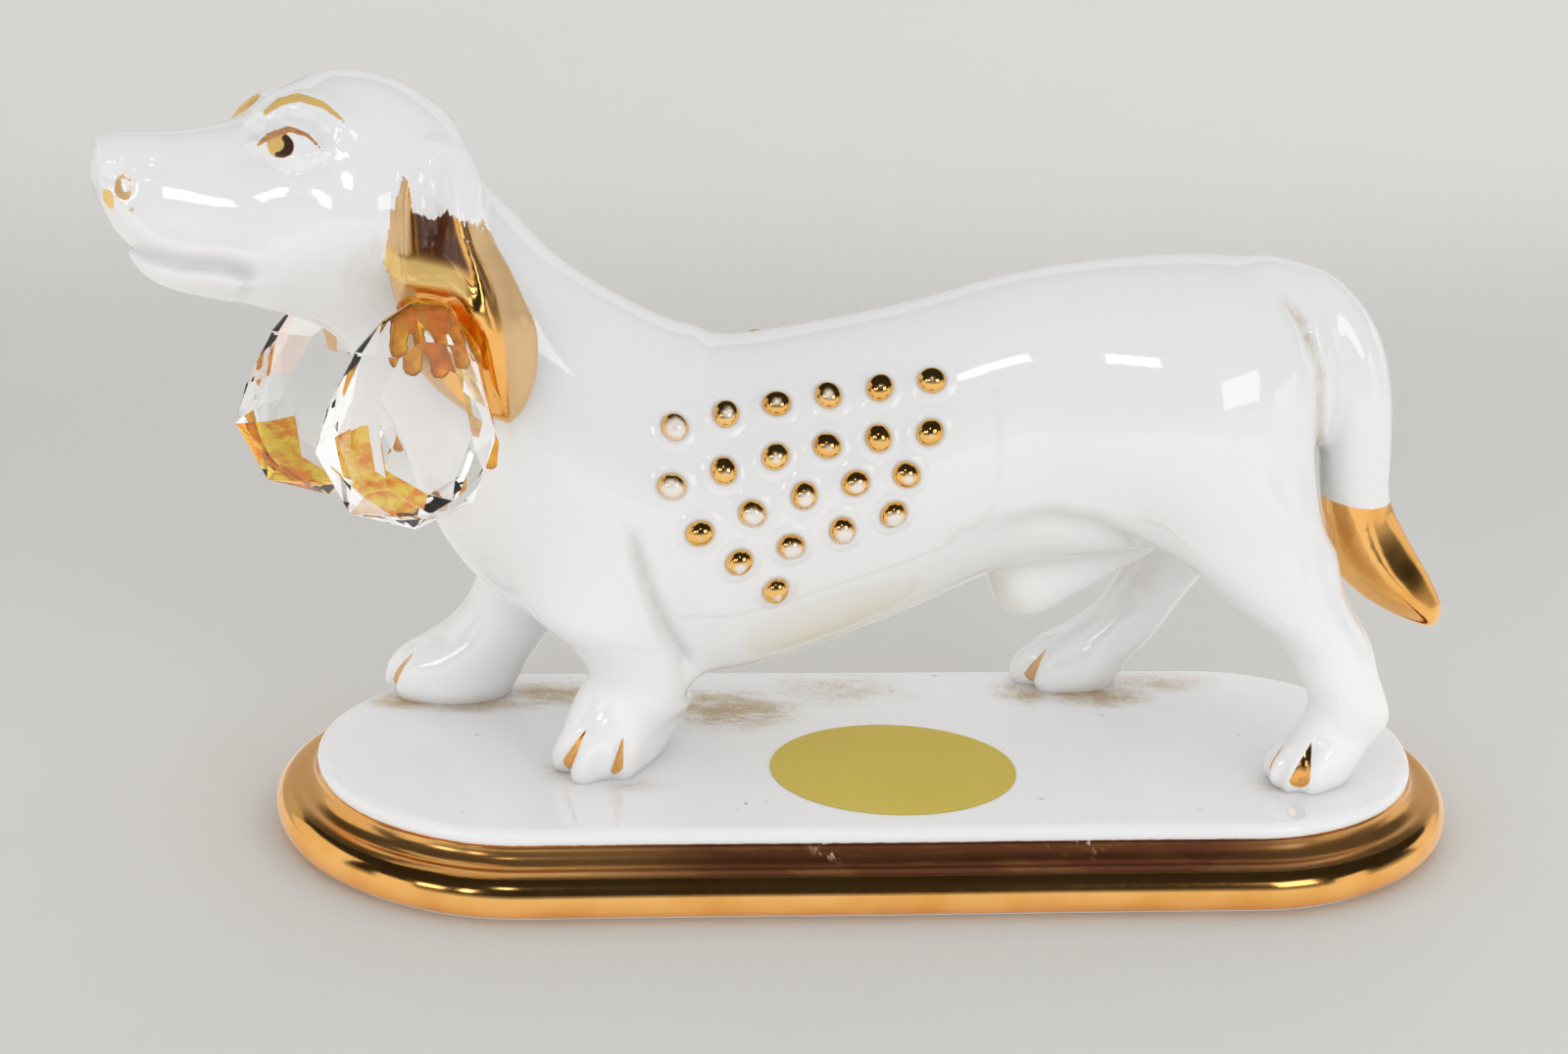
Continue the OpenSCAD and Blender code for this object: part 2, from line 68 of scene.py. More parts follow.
class Wire:
    """A socket of a material's nodes. A sum written with it adds the Math nodes for that sum."""

    def __init__(self, tree, socket=None):
        self.tree, self.socket = tree, socket

    def node(self, kind, settings, sockets, out=0):
        """Any node: its settings are set first, then the values or the links of its sockets."""
        n = self.tree.nodes.new("ShaderNode" + kind)
        for name, value in settings.items():
            setattr(n, name, value)
        for name, value in sockets.items():
            if isinstance(value, Wire):
                self.tree.links.new(value.socket, n.inputs[name])
            else:
                n.inputs[name].default_value = value
        return Wire(self.tree, n.outputs[out])

    def math(self, operation, a, b):
        return self.node("Math", {"operation": operation}, {0: a, 1: b})

    def __add__(self, other):
        return self.math("ADD", self, other)

    __radd__ = __add__

    def __sub__(self, other):
        return self.math("SUBTRACT", self, other)

    def __rsub__(self, other):
        return self.math("SUBTRACT", other, self)

    def __mul__(self, other):
        return self.math("MULTIPLY", self, other)

    __rmul__ = __mul__

    def most(self, other):
        return self.math("MAXIMUM", self, other)

    def least(self, other):
        return self.math("MINIMUM", self, other)

    def rise(self, low, high):
        """0 below low and 1 above high, with a soft step between."""
        return self.node("MapRange", {"interpolation_type": "SMOOTHSTEP"}, {0: self, 1: low, 2: high, 3: 0.0, 4: 1.0})

    def between(self, a, b):
        """The colour a where this is 0 and b where it is 1."""
        a, b = [v if isinstance(v, Wire) else (*v, 1.0) for v in (a, b)]
        return self.node("Mix", {"data_type": "RGBA"}, {0: self, 6: a, 7: b}, 2)

    def blend(self, a, b):
        """The value a where this is 0 and b where it is 1."""
        return a + self * (b - a)

    def attribute(self, name):
        return self.node("Attribute", {"attribute_name": name}, {}, 2)

    def place(self):
        """The point on the object in millimetres."""
        point = self.node("TexCoord", {}, {}, 3)
        return self.node("VectorMath", {"operation": "SCALE"}, {0: point, "Scale": 1 / MM})

    def stretched(self, x, y, z):
        return self.node("VectorMath", {"operation": "MULTIPLY"}, {0: self, 1: (x, y, z)})

    def grain(self, size, detail=3.0, rough=0.55):
        """Noise round 0.5 with features of about this size in millimetres."""
        return self.node("TexNoise", {}, {"Vector": self, "Scale": 1 / size, "Detail": detail, "Roughness": rough})

    def near(self, centre, reach):
        """1 at the centre, falling to 0 at an oval with these half sizes round it."""
        gap = self.node("VectorMath", {"operation": "SUBTRACT"}, {0: self, 1: centre})
        gap = gap.stretched(*[1 / r for r in reach])
        return 1 - self.node("VectorMath", {"operation": "LENGTH"}, {0: gap}, 1).least(1.0)


def finish_material(name):
    """A new material, with a wire to start its sums from, and a function that sets its surface."""
    material = bpy.data.materials.new(name)
    material.use_nodes = True
    surface = material.node_tree.nodes["Principled BSDF"]

    def coat(**sockets):
        for label, value in sockets.items():
            socket = surface.inputs[label.replace("_", " ")]
            if isinstance(value, Wire):
                material.node_tree.links.new(value.socket, socket)
            else:
                socket.default_value = (*value, 1.0) if isinstance(value, tuple) else value

    return material, Wire(material.node_tree), coat


def tinted(colour, *by):
    """A colour with its red, green and blue each taken times a number."""
    return tuple(v * k for v, k in zip(colour, by))


def gilded(wire, gilt, under, under_rough, rub, gold=gold_film):
    """Colour, metallic and roughness of a glaze with gold where gilt is above 0, rubbed down to a fifth where rub is
    1.
    """
    p = wire.place()
    streak = p.stretched(1, 1, 0.35).grain(1.1, 4.0, 0.6)
    film = gilt.rise(-0.06, 0.06) * (1 - 0.8 * rub)
    tone = p.grain(9.0, 2.0).rise(0.3, 0.75).between(gold, tinted(gold, 0.9, 0.8, 0.62))
    colour = film.between(under, tone)
    rough = film.blend(under_rough, 0.085 + streak * 0.09)
    return colour, film, rough


def mesh_piece(name, verts, faces, material, smooth=True, crease=None):
    """A mesh object from points in millimetres."""
    mesh = bpy.data.meshes.new(name)
    mesh.from_pydata((np.asarray(verts) * MM).tolist(), [], [list(f) for f in faces])
    mesh.validate()
    if smooth:
        mesh.shade_smooth()
    if crease:
        mesh.set_sharp_from_angle(angle=math.radians(crease))
    mesh.materials.append(material)
    piece = bpy.data.objects.new(name, mesh)
    bpy.context.collection.objects.link(piece)
    return piece


def paint(piece, name, values):
    """Keeps one value at each point of the mesh for its material."""
    piece.data.attributes.new(name, "FLOAT", "POINT").data.foreach_set("value", np.asarray(values, np.float32).ravel())


def ring_faces(rings, count, start=0):
    """Four-sided faces between rings of points that follow one another."""
    corners = ((0, 0), (1, 0), (1, 1), (0, 1))
    return [[start + (j + out) * count + (i + on) % count for out, on in corners]
            for j in range(rings - 1) for i in range(count)]


def arc(x, z, r, start, end, n):
    a = np.radians(np.linspace(start, end, n))
    return np.c_[x + r * np.cos(a), z + r * np.sin(a)]


profile = np.vstack([
    [[out, plinth_top] for out in (-27.3, -24, -20, -15, -10, -6, -3)],
    arc(-edge_radius, edge_height, edge_radius, 90, -33, 14),
    arc(2.45, 9.6, cove_radius, 189, 264, 16),
    arc(foot_centre, 3.5, foot_radius, 86, -68, 28),
    [[3.6, 0.12], [3.3, 0.0], [0, 0], [-8, 0], [-18, 0], [-27.3, 0]],
])
# The gold starts after the 7 rings of the flat top and the 14 of the rounded edge.
gold_edge = 7 + 14
cove_rings = 23
run = np.r_[0, np.cumsum(np.hypot(*np.diff(profile, axis=0).T))]
plinth_gilt = run - run[gold_edge] + 0.55
plinth_gilt = np.minimum(plinth_gilt, profile[:, 1] - 0.35)

end_count = 73
right_end, left_end = np.radians(np.linspace(-90, 90, end_count)), np.radians(np.linspace(90, 270, end_count))
straight = np.linspace(0, 1, 23)[1:-1]
path_turn = np.r_[right_end, np.full(len(straight), right_end[-1]), left_end, np.full(len(straight), left_end[-1])]
path_x = plate_half_run * np.r_[np.ones(end_count), 1 - 2 * straight, -np.ones(end_count), 2 * straight - 1]
wobble = 0.10 * np.sin(3 * path_turn + 0.02 * path_x) + 0.06 * np.sin(0.11 * path_x + 7 * path_turn)
count = len(path_x)
plinth_points = []
for out, z in profile:
    reach = plate_radius + out + wobble * np.clip((out + 27) / 27, 0, 1)
    sag = 0.05 * np.sin(0.05 * path_x + 1.3) * (out < -2) * (z > 5)
    plinth_points.append(np.c_[path_x + np.cos(path_turn) * reach, np.sin(path_turn) * reach, np.full(count, z) + sag])
plinth_faces = ring_faces(len(profile), count)
plinth_faces.append(range(count))
plinth_faces.append(range(len(profile) * count - 1, (len(profile) - 1) * count - 1, -1))

glaze_plinth, w, coat = finish_material("plinth_glaze")
p = w.place()
# Patches of dust on the plate, and painted shade in the two under the belly: strength, middle along x and y, and half
# sizes along x and y.
dust_and_shade_patches = [
    (1.5, -66, 17, 9, 4.5), (1.5, -56, 15.5, 12, 4.5), (1.7, -44, 19, 14, 5.5), (0.8, -45, -7, 7, 6),
    (0.7, -36, -12.5, 9, 4), (1.5, -20, 13, 15, 11), (0.8, -2, 20, 18, 9), (1.3, 26, 18.5, 7, 6),
    (1.7, 37, 17.5, 11, 6), (0.9, 48, 22, 12, 6), (0.7, 57, -14, 6, 6),
]
dust_and_shade = 0.0
for strength, x, y, half_x, half_y in dust_and_shade_patches:
    patch = strength * p.near((x, y, plinth_top), (half_x, half_y, 4))
    dust_and_shade = patch.most(dust_and_shade)
grit = p.grain(0.5, 2.0, 0.7).rise(0.5, 0.66)
smear = p.stretched(0.5, 1.2, 1).grain(2.6, 4.0, 0.7).rise(0.3, 0.72)
dust_and_shade = (dust_and_shade * (0.4 + 0.6 * smear) * (0.7 + 0.6 * grit)).rise(0.04, 0.85)
pits = p.grain(1.1, 0.0).rise(0.845, 0.86) * p.grain(16.0).rise(0.52, 0.64)
# Painted light: the plate's glaze is painted a tenth lighter than the dog's, standing in for light on the plate.
lit_plate_white = tinted(porcelain_white, 1.1, 1.1, 1.1)
glazed = p.grain(22.0, 2.0).between(lit_plate_white, tinted(lit_plate_white, 0.965, 0.967, 0.975))
glazed = (0.9 * dust_and_shade).between(glazed, dust_brown)
glazed = (0.6 * pits).between(glazed, (0.30, 0.25, 0.20))
gilt = w.attribute("gilt") + (p.grain(1.6, 3.0) - 0.5) * 0.35
flaking = p.near((27, -31, 9.5), (9, 8, 3)).most(p.near((-9, -30, 9.5), (5, 8, 3))).rise(0.1, 0.6)
rub = p.stretched(1.0, 1, 0.6).grain(1.6, 4.0, 0.7).rise(0.56, 0.62) * flaking
colour, film, rough = gilded(w, gilt, glazed, 0.07 + 0.35 * dust_and_shade, rub)
# Painted reflection in the cove: its gold is painted dark brown in place of the dark room it mirrors, darkest in the
# middle of the front and paler gold-brown towards the ends, in patchy streaks.
patchy = (0.88 + 0.2 * p.stretched(0.2, 0.5, 1.0).grain(2.0, 3.0).rise(0.3, 0.65)).least(1.0)
cove_painted_dark = w.attribute("cove").rise(0.2, 0.9) * film * patchy
shaded = p.near((10, -26, 9), (80, 60, 20)).rise(0.05, 0.6)
cove_painted_dark = cove_painted_dark * shaded.blend(0.3, 1.0)
colour = cove_painted_dark.between(colour, shaded.between((0.62, 0.31, 0.11), (0.19, 0.062, 0.024)))
rough = cove_painted_dark.blend(rough, 0.36)
bare = 1 - w.attribute("height").rise(0.22, 0.42)
coat(
    Base_Color=bare.between(colour, bare_clay),
    Metallic=film * (1 - bare) * (1 - 0.2 * cove_painted_dark),
    Roughness=bare.blend(rough, 0.75),
    IOR=1.57,
    Normal=w.node("Bump", {}, {"Strength": 0.05, "Distance": 0.0004, "Height": p.grain(3.5, 2.0)}),
)
plinth = mesh_piece("porcelain_plinth", np.vstack(plinth_points), plinth_faces, glaze_plinth, crease=50)
paint(plinth, "gilt", np.repeat(plinth_gilt, count))
paint(plinth, "height", np.vstack(plinth_points)[:, 2])
cove = np.r_[np.zeros(gold_edge - 2), np.ones(cove_rings), np.zeros(len(profile) - gold_edge + 2 - cove_rings)]
paint(plinth, "cove", np.repeat(cove, count))
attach(plinth, "root")
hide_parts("plinth")

# Dog
# Slip castings of the torso with the neck, the head, two ears, four legs and the tail, luted together and glazed
# as one skin. Toes, mouth, lids and folds are tooled in the clay.
# The ears, the tip of the tail, the toe creases, eyes, brows and nostrils are gilded with a brush.

set_back = 5.0
dog_stand = np.array([0, set_back, plinth_top])
voxel = 0.45
chest_x = -21.0
chest_rise = 36.5
rump_rise = 52.4
chest_half_height = 24.5
head_seat = (-66.0, 0.0, 74.4)
head_turn = math.radians(10)
head_tilt = math.radians(20)
ear_drop = 37.5
ear_half_width = 9.5
ear_half_thick = 2.0

grid_low = np.array([-115.5, -27.0, -1.6])
grid_high = np.array([87.0, 27.0, 102.5])
cells = np.ceil((grid_high - grid_low) / voxel).astype(int)
gx, gy, gz = [grid_low[i] + voxel * np.arange(cells[i] + 1) for i in range(3)]
dog_field = np.full((len(gx), len(gy), len(gz)), 9.0, np.float32)


def smooth_run(rows, n):
    """n places along the smooth curve through the rows."""
    rows = np.asarray(rows, float)
    t = np.linspace(0, len(rows) - 1, n)
    i = np.minimum(t.astype(int), len(rows) - 2)
    u = (t - i)[:, None]
    a, b = rows[np.maximum(i - 1, 0)], rows[i]
    c, d = rows[i + 1], rows[np.minimum(i + 2, len(rows) - 1)]
    return b + 0.5 * u * ((c - a) + u * ((2 * a - 5 * b + 4 * c - d) + u * (3 * b - a - 3 * c + d)))


def ring_gap(y, v, half, up, down):
    """About how far a point in a ring's plane lies outside the ring."""
    h = np.where(v > 0, up, down)
    k = np.sqrt((y / half) ** 2 + (v / h) ** 2) + 1e-5
    return k * (k - 1) / (np.sqrt((y / half ** 2) ** 2 + (v / h ** 2) ** 2) + 1e-5)


def even(gap):
    """The same field with an even slope, so that it reads as a distance."""
    slope = np.sqrt(sum(g ** 2 for g in np.gradient(gap, voxel)))
    return gap / np.clip(slope, 0.7, 6)


def box(low, high):
    """The part of the grid inside these corners, and its points as three arrays that spread over it."""
    part = tuple(slice(np.searchsorted(g, a), np.searchsorted(g, b)) for g, a, b in zip((gx, gy, gz), low, high))
    x, y, z = [g[inside].astype(np.float32) for g, inside in zip((gx, gy, gz), part)]
    return part, x[:, None, None], y[None, :, None], z[None, None, :]


def capped(gap, past):
    """The field of a form that ends where past rises above 0."""
    return even(np.where(past > 0, np.sqrt(np.maximum(gap, 0) ** 2 + past ** 2), gap))


def fillet(gap, old, soft):
    """Two forms as one, with a fillet of about this radius between them."""
    h = np.clip(0.5 + 0.5 * (gap - old) / soft, 0, 1)
    return gap * (1 - h) + old * h - soft * h * (1 - h)


def join(part, gap, soft):
    """Adds a form to the dog with a fillet."""
    dog_field[part] = fillet(gap, dog_field[part], soft)


def line_gap(x, z, points):
    """Distance in a side view from a chain of points, and the share of the way along it."""
    points = np.asarray(points, float)
    best, along = 1e9, 0.0
    for i in range(len(points) - 1):
        a, e = points[i], points[i + 1] - points[i]
        u = np.clip(((x - a[0]) * e[0] + (z - a[1]) * e[1]) / (e @ e), 0, 1)
        gap = np.hypot(x - a[0] - u * e[0], z - a[1] - u * e[1])
        along = np.where(gap < best, (i + u) / (len(points) - 1), along)
        best = np.minimum(best, gap)
    return best, along


def bell(gap, wide):
    return np.exp(-(gap / wide) ** 2)


def step(v, low, high):
    u = np.clip((v - low) / (high - low), 0, 1)
    return u * u * (3 - 2 * u)


def stretch(v, start, full, fade, end):
    """1 from full to fade, with a soft step from 0 before it and one back to 0 after it."""
    return step(v, start, full) * (1 - step(v, fade, end))


# Torso and neck: rings from the end of the rump to the top of the neck, [x, z, lean, half width, up, down].
torso_rings = smooth_run([
    [67, 56.6, 0, 0.6, 0.6, 0.6], [65.6, 56.6, 0, 6, 5.9, 6.2], [62.4, 56.4, 0, 10.6, 10.8, 11.4],
    [57.4, 55.6, 0, 15, 15.3, 15.7], [50.2, 54.2, 0, 18.2, 18.9, 18.9], [41.3, 52.4, 0, 19.4, 21, 21],
    [28.8, 50.4, 0, 18.2, 22, 21.4], [16.4, 48.4, 0, 16.4, 21.8, 21.8], [0.4, 42.5, 0, 17.9, 22.9, 23.2],
    [-21, 36.5, 0, 20.5, 24.5, 24.5], [-31.2, 37.6, 9, 20.2, 25, 24.3], [-39.6, 41.2, 24, 19.1, 23.8, 24],
    [-48, 48, 39, 17.2, 21.7, 22], [-58.2, 61, 48, 13.7, 16.3, 16.3], [-67.5, 72.5, 50, 13, 14.5, 14.5],
    [-71.1, 76.3, 50, 10, 11.5, 11.5]], 420)
part, x, y, z = box((-84, -27, 5), (74, 27, 94))
tx, tz, lean, tw, tu, td = torso_rings.T
lean = np.radians(lean)
flat_x, flat_z = np.meshgrid(x.ravel(), z.ravel(), indexing="ij")
where = np.full(flat_x.shape, len(tx) - 1.0)
done = np.zeros(flat_x.shape, bool)
for k in range(len(tx)):
    side = (flat_x - tx[k]) * math.cos(lean[k]) - (flat_z - tz[k]) * math.sin(lean[k])
    if k == 0:
        first, hit = side, side >= 0
        where[hit] = 0
    else:
        hit = ~done & (side >= 0)
        where[hit] = k - side[hit] / (side[hit] - last[hit])
    done |= hit
    last = side
ring = [np.interp(where, np.arange(len(tx)), q) for q in (tx, tz, lean, tw, tu, td)]
rise = (flat_x - ring[0]) * np.sin(ring[2]) + (flat_z - ring[1]) * np.cos(ring[2])
spread = [q[:, None, :].astype(np.float32) for q in (rise, ring[3], ring[4], ring[5])]
torso_gap = ring_gap(y, *spread)
past = np.maximum(np.maximum(first, -last), 0)[:, None, :].astype(np.float32)
torso_gap = capped(torso_gap, past)
# The fold of skin in front of each thigh, and the hollow under it.
fold, along = line_gap(x, z, [(11, 39.5), (16, 41), (21.8, 42.6), (28.7, 41.6), (35.5, 38), (42, 33)])
side_on = step(np.abs(y), 5, 11)
under = step(-(z - np.interp(x, [11, 21.8, 28.7, 42], [39.5, 42.6, 41.6, 33])), -1, 3)
fold_depth = 1.3 * under * bell(fold - 2.5, 3.2) - 0.35 * bell(fold, 2.2)
torso_gap = torso_gap + side_on * bell(along - 0.55, 0.42) * fold_depth
# The swell of the haunch on each side.
torso_gap = torso_gap - step(np.abs(y), 4, 12) * 1.5 * bell(np.hypot((x - 42) / 1.1, z - 50), 15)
join(part, torso_gap, 0.1)

# The rounded sheath under the belly.
part, x, y, z = box((10, -9, 14), (50, 9, 40))
best = 1e9
for u in np.linspace(0, 1, 14):
    mid_x, mid_z, radius = 22.4 + 15 * u, 24.4 + 6.4 * u, 5.6 - 2.4 * u
    best = np.minimum(best, np.sqrt((x - mid_x) ** 2 + (1.1 * y) ** 2 + (z - mid_z) ** 2) - radius)
join(part, best, 4.0)


def head_place(x, y, z):
    """A point of the dog in the head's own frame, before the head was turned and tilted."""
    x, y, z = x - head_seat[0], y - head_seat[1], z - head_seat[2]
    x, y = x * math.cos(head_turn) + y * math.sin(head_turn), y * math.cos(head_turn) - x * math.sin(head_turn)
    return x, y * math.cos(head_tilt) - z * math.sin(head_tilt), z * math.cos(head_tilt) + y * math.sin(head_tilt)


def from_head(x, y, z):
    """A point of the head's own frame where it stands on the dog."""
    y, z = y * math.cos(head_tilt) + z * math.sin(head_tilt), z * math.cos(head_tilt) - y * math.sin(head_tilt)
    x, y = x * math.cos(head_turn) - y * math.sin(head_turn), x * math.sin(head_turn) + y * math.cos(head_turn)
    return np.array([x + head_seat[0], y + head_seat[1], z + head_seat[2]])


# Head: rings from the back of the skull to the nose, [x, z, half width, up, down] in the head's own frame.
head_rings = smooth_run([
    [7.4, 8.2, 0.6, 0.6, 0.6], [4.8, 8.2, 10.4, 8.8, 10.0], [0, 8, 14.6, 13.6, 14.8], [-5.9, 7.4, 16, 16.9, 17.1],
    [-12.9, 6.9, 15.4, 17.9, 17.1], [-19.9, 6.4, 13.8, 15.8, 14.7], [-25.2, 6.2, 11.5, 12.6, 12.8],
    [-31.1, 6.8, 8.7, 10.7, 12.0], [-37, 8.4, 6.3, 8.9, 11.2], [-41.8, 10.8, 5.1, 6.6, 8.1],
    [-44.2, 12.3, 3.3, 4.2, 4.6], [-45, 12.5, 0.6, 0.6, 0.6]], 300)
mouth_line = [(-45.5, 9), (-43.9, 7), (-43.1, 5.9), (-42.1, 4.5), (-40.6, 2.6), (-38.8, 1.1), (-36.8, 0.2),
              (-34.3, -0.6), (-31.8, -1.0), (-29.4, -1.3), (-26.8, -2.0), (-25.1, -2.9), (-23.9, -3.9)]
lid_line = [(-23.9, 14.4), (-22.4, 15.6), (-19.8, 16.3), (-17.6, 15.3), (-16, 13.1)]
lower_lid = [(-23.6, 14.2), (-21.6, 12.4), (-18.8, 11.8), (-16.2, 12.8)]
nose_line = [(-44.6, 11.6), (-42, 11.5), (-39, 12.4), (-36.5, 12.2)]
brow_line = [(-22.4, 18.8), (-20.3, 20.2), (-17.9, 20.6), (-15.2, 19.4), (-12.8, 16.8)]
part, x, y, z = box((-115.5, -27, 52), (-50, 27, 102))
hx, hy, hz = head_place(x, y, z)
mid_z, half, up, down = [np.interp(-hx, -head_rings[:, 0], head_rings[:, i]).astype(np.float32) for i in range(1, 5)]
head_gap = ring_gap(hy, hz - mid_z, half, up, down)
past = np.maximum(np.maximum(hx - 7.4, -45 - hx), 0)
head_gap = capped(head_gap, past)
flank = step(np.abs(hy), 2, 6)
gap, along = line_gap(hx, hz, mouth_line)
corner = stretch(along, -0.06, 0.06, 0.86, 1.0)
mouth_x, mouth_z = np.array(mouth_line).T
below = hz < np.interp(hx, mouth_x, mouth_z)
full = step(along, 0.2, 0.5)
head_gap += corner * (0.5 + 1.9 * full) * bell(gap, 0.62)
head_gap -= corner * np.where(below, 0.7 * full * bell(gap - 2.3, 1.5), 0.45 * bell(gap - 1.7, 1.4))
# Rolls and grooves along the lids and brows on both sides: height, line, how far above it, and half width.
for height, line, above, wide in ((0.75, lid_line, 0, 0.8), (-0.7, lid_line, 1.8, 0.9), (0.5, lower_lid, 0, 0.8),
                                  (-0.5, lower_lid, -1.6, 0.9), (1.5, brow_line, 0, 2.4)):
    head_gap -= flank * height * bell(line_gap(hx, hz - above, line)[0], wide)
# Swells and hollows on both sides: height, middle along x and z, stretch along x, and half width.
for height, mid_x, mid_z, long, wide in ((1.1, -20.2, 13.9, 1, 2.3), (-1.1, -26.5, 11.8, 1.25, 3.4),
                                         (-0.7, -24, 5, 1.7, 4), (1, -12.5, 4, 1.2, 5), (-0.6, -18, -5.5, 1.3, 3.5),
                                         (-0.12, -23, -4.2, 1.3, 2.4)):
    head_gap -= flank * height * bell(np.hypot((hx - mid_x) / long, hz - mid_z), wide)
# The far brow's swell, the dip between the brows, the ball of the nose and the grooves beside it.
head_gap -= step(hy, 1, 5) * 1.2 * bell(np.hypot(hx + 21.5, hz - 20), 3.6)
head_gap += 0.8 * bell(np.hypot(hx + 20, (hz - 21) / 1.4), 4.0) * bell(hy, 3.0)
head_gap -= 0.5 * bell(np.sqrt((hx + 42.5) ** 2 + (hy / 1.4) ** 2 + (hz - 13.8) ** 2), 3.2)
head_gap += 0.45 * bell(line_gap(hx, hz, nose_line)[0], 0.9) * step(np.abs(hy), 1.5, 3.5)
nose_gap = np.sqrt((hx + 41.5) ** 2 + (np.abs(hy) - 4.9) ** 2 + ((hz - 9.7) / 1.5) ** 2)
head_gap += 0.6 * bell(nose_gap, 1.3)
join(part, head_gap, 4.0)


def ear_rings(side):
    """Rings of an ear from its tip up to its root, [x, y, z, half thickness, half width]."""
    root, low = from_head(0, side * 14.7, 14), from_head(0, side * 17, 6)
    swing, hang = (9.4 if side < 0 else -2.6), side * 17.2
    rows = [(1, hang, 1, 0.15, 0.05), (0.94, hang, 0.975, 0.6, 0.26), (0.81, hang, 0.91, 0.9, 0.52),
            (0.6, hang, 0.79, 1, 0.84), (0.4, hang, 0.61, 1, 1), (0.21, (hang + low[1]) / 2, 0.44, 1, 0.9),
            (0.03, low[1], 0.28, 1, 0.68), (-0.06, (root[1] + low[1]) / 2, 0.13, 1, 0.6),
            (-0.08, root[1], 0.03, 0.8, 0.46), (-0.08, root[1], 0, 0.15, 0.05)]
    return [[root[0] + swing * a, b, root[2] - ear_drop * c, ear_half_thick * t, ear_half_width * u]
            for a, b, c, t, u in rows]


# Rolls and hollows of an ear's outer face: height, half width, and a bend as shares across from the middle and down.
ear_relief = [
    (1.2, 0.5, [(-0.6, 0.02), (-0.76, 0.2), (-0.82, 0.34), (-0.84, 0.5)]),
    (-1.9, 1.15, [(-0.2, 0.16), (-0.3, 0.28), (-0.22, 0.36)]),
    (1.5, 0.5, [(-0.95, 0.46), (-0.54, 0.45), (-0.1, 0.46), (0.06, 0.51), (0.14, 0.6)]),
    (-1.2, 0.7, [(-0.9, 0.6), (-0.5, 0.58), (-0.2, 0.6), (0.0, 0.74)]),
    (2.2, 1.0, [(0.46, 0.02), (0.45, 0.28), (0.36, 0.4), (0.3, 0.55), (0.26, 0.75), (0.2, 0.95)]),
    (1.3, 0.9, [(0.8, 0.1), (0.95, 0.2)]),
    (0.5, 0.3, [(0.46, 0.26), (0.37, 0.4), (0.3, 0.52)]),
    (-0.8, 0.8, [(0.9, 0.3), (0.86, 0.45), (0.8, 0.6)]),
]
ear_runs = {side: smooth_run(ear_rings(side), 240) for side in (-1, 1)}


def ear_place(rows, x, z):
    """An ear's ring at a height, as middle x and y, half thickness and half width, and a point's shares across and down."""
    mid_x, mid_y, thick, wide = [np.interp(z, rows[:, 2], rows[:, i]).astype(x.dtype) for i in (0, 1, 3, 4)]
    return mid_x, mid_y, thick, wide, (x - mid_x) / np.maximum(wide, 2), (rows[-1, 2] - z) / ear_drop


for side, rows in ear_runs.items():
    part, x, y, z = box((-84, min(0, side * 27), 52), (-42, max(0, side * 27), 95))
    mid_x, mid_y, thick, wide, across, down = ear_place(rows, x, z)
    outer = side * (y - mid_y)
    gap = ring_gap(y - mid_y, x - mid_x, thick, wide, wide)
    past = np.maximum(np.maximum(rows[0, 2] - z, z - rows[-1, 2]), 0)
    gap = capped(gap, past)
    shape = step(outer, -1.2, 0.6) * step(down, 0.0, 0.12)
    for height, wide, bend in ear_relief:
        far, along = line_gap(4 * across, 8 * down, [(4 * a, 8 * b) for a, b in bend])
        gap = gap - shape * height * bell(far, wide) * stretch(along, -0.1, 0.15, 0.85, 1.1)
    join(part, gap, 1.3)


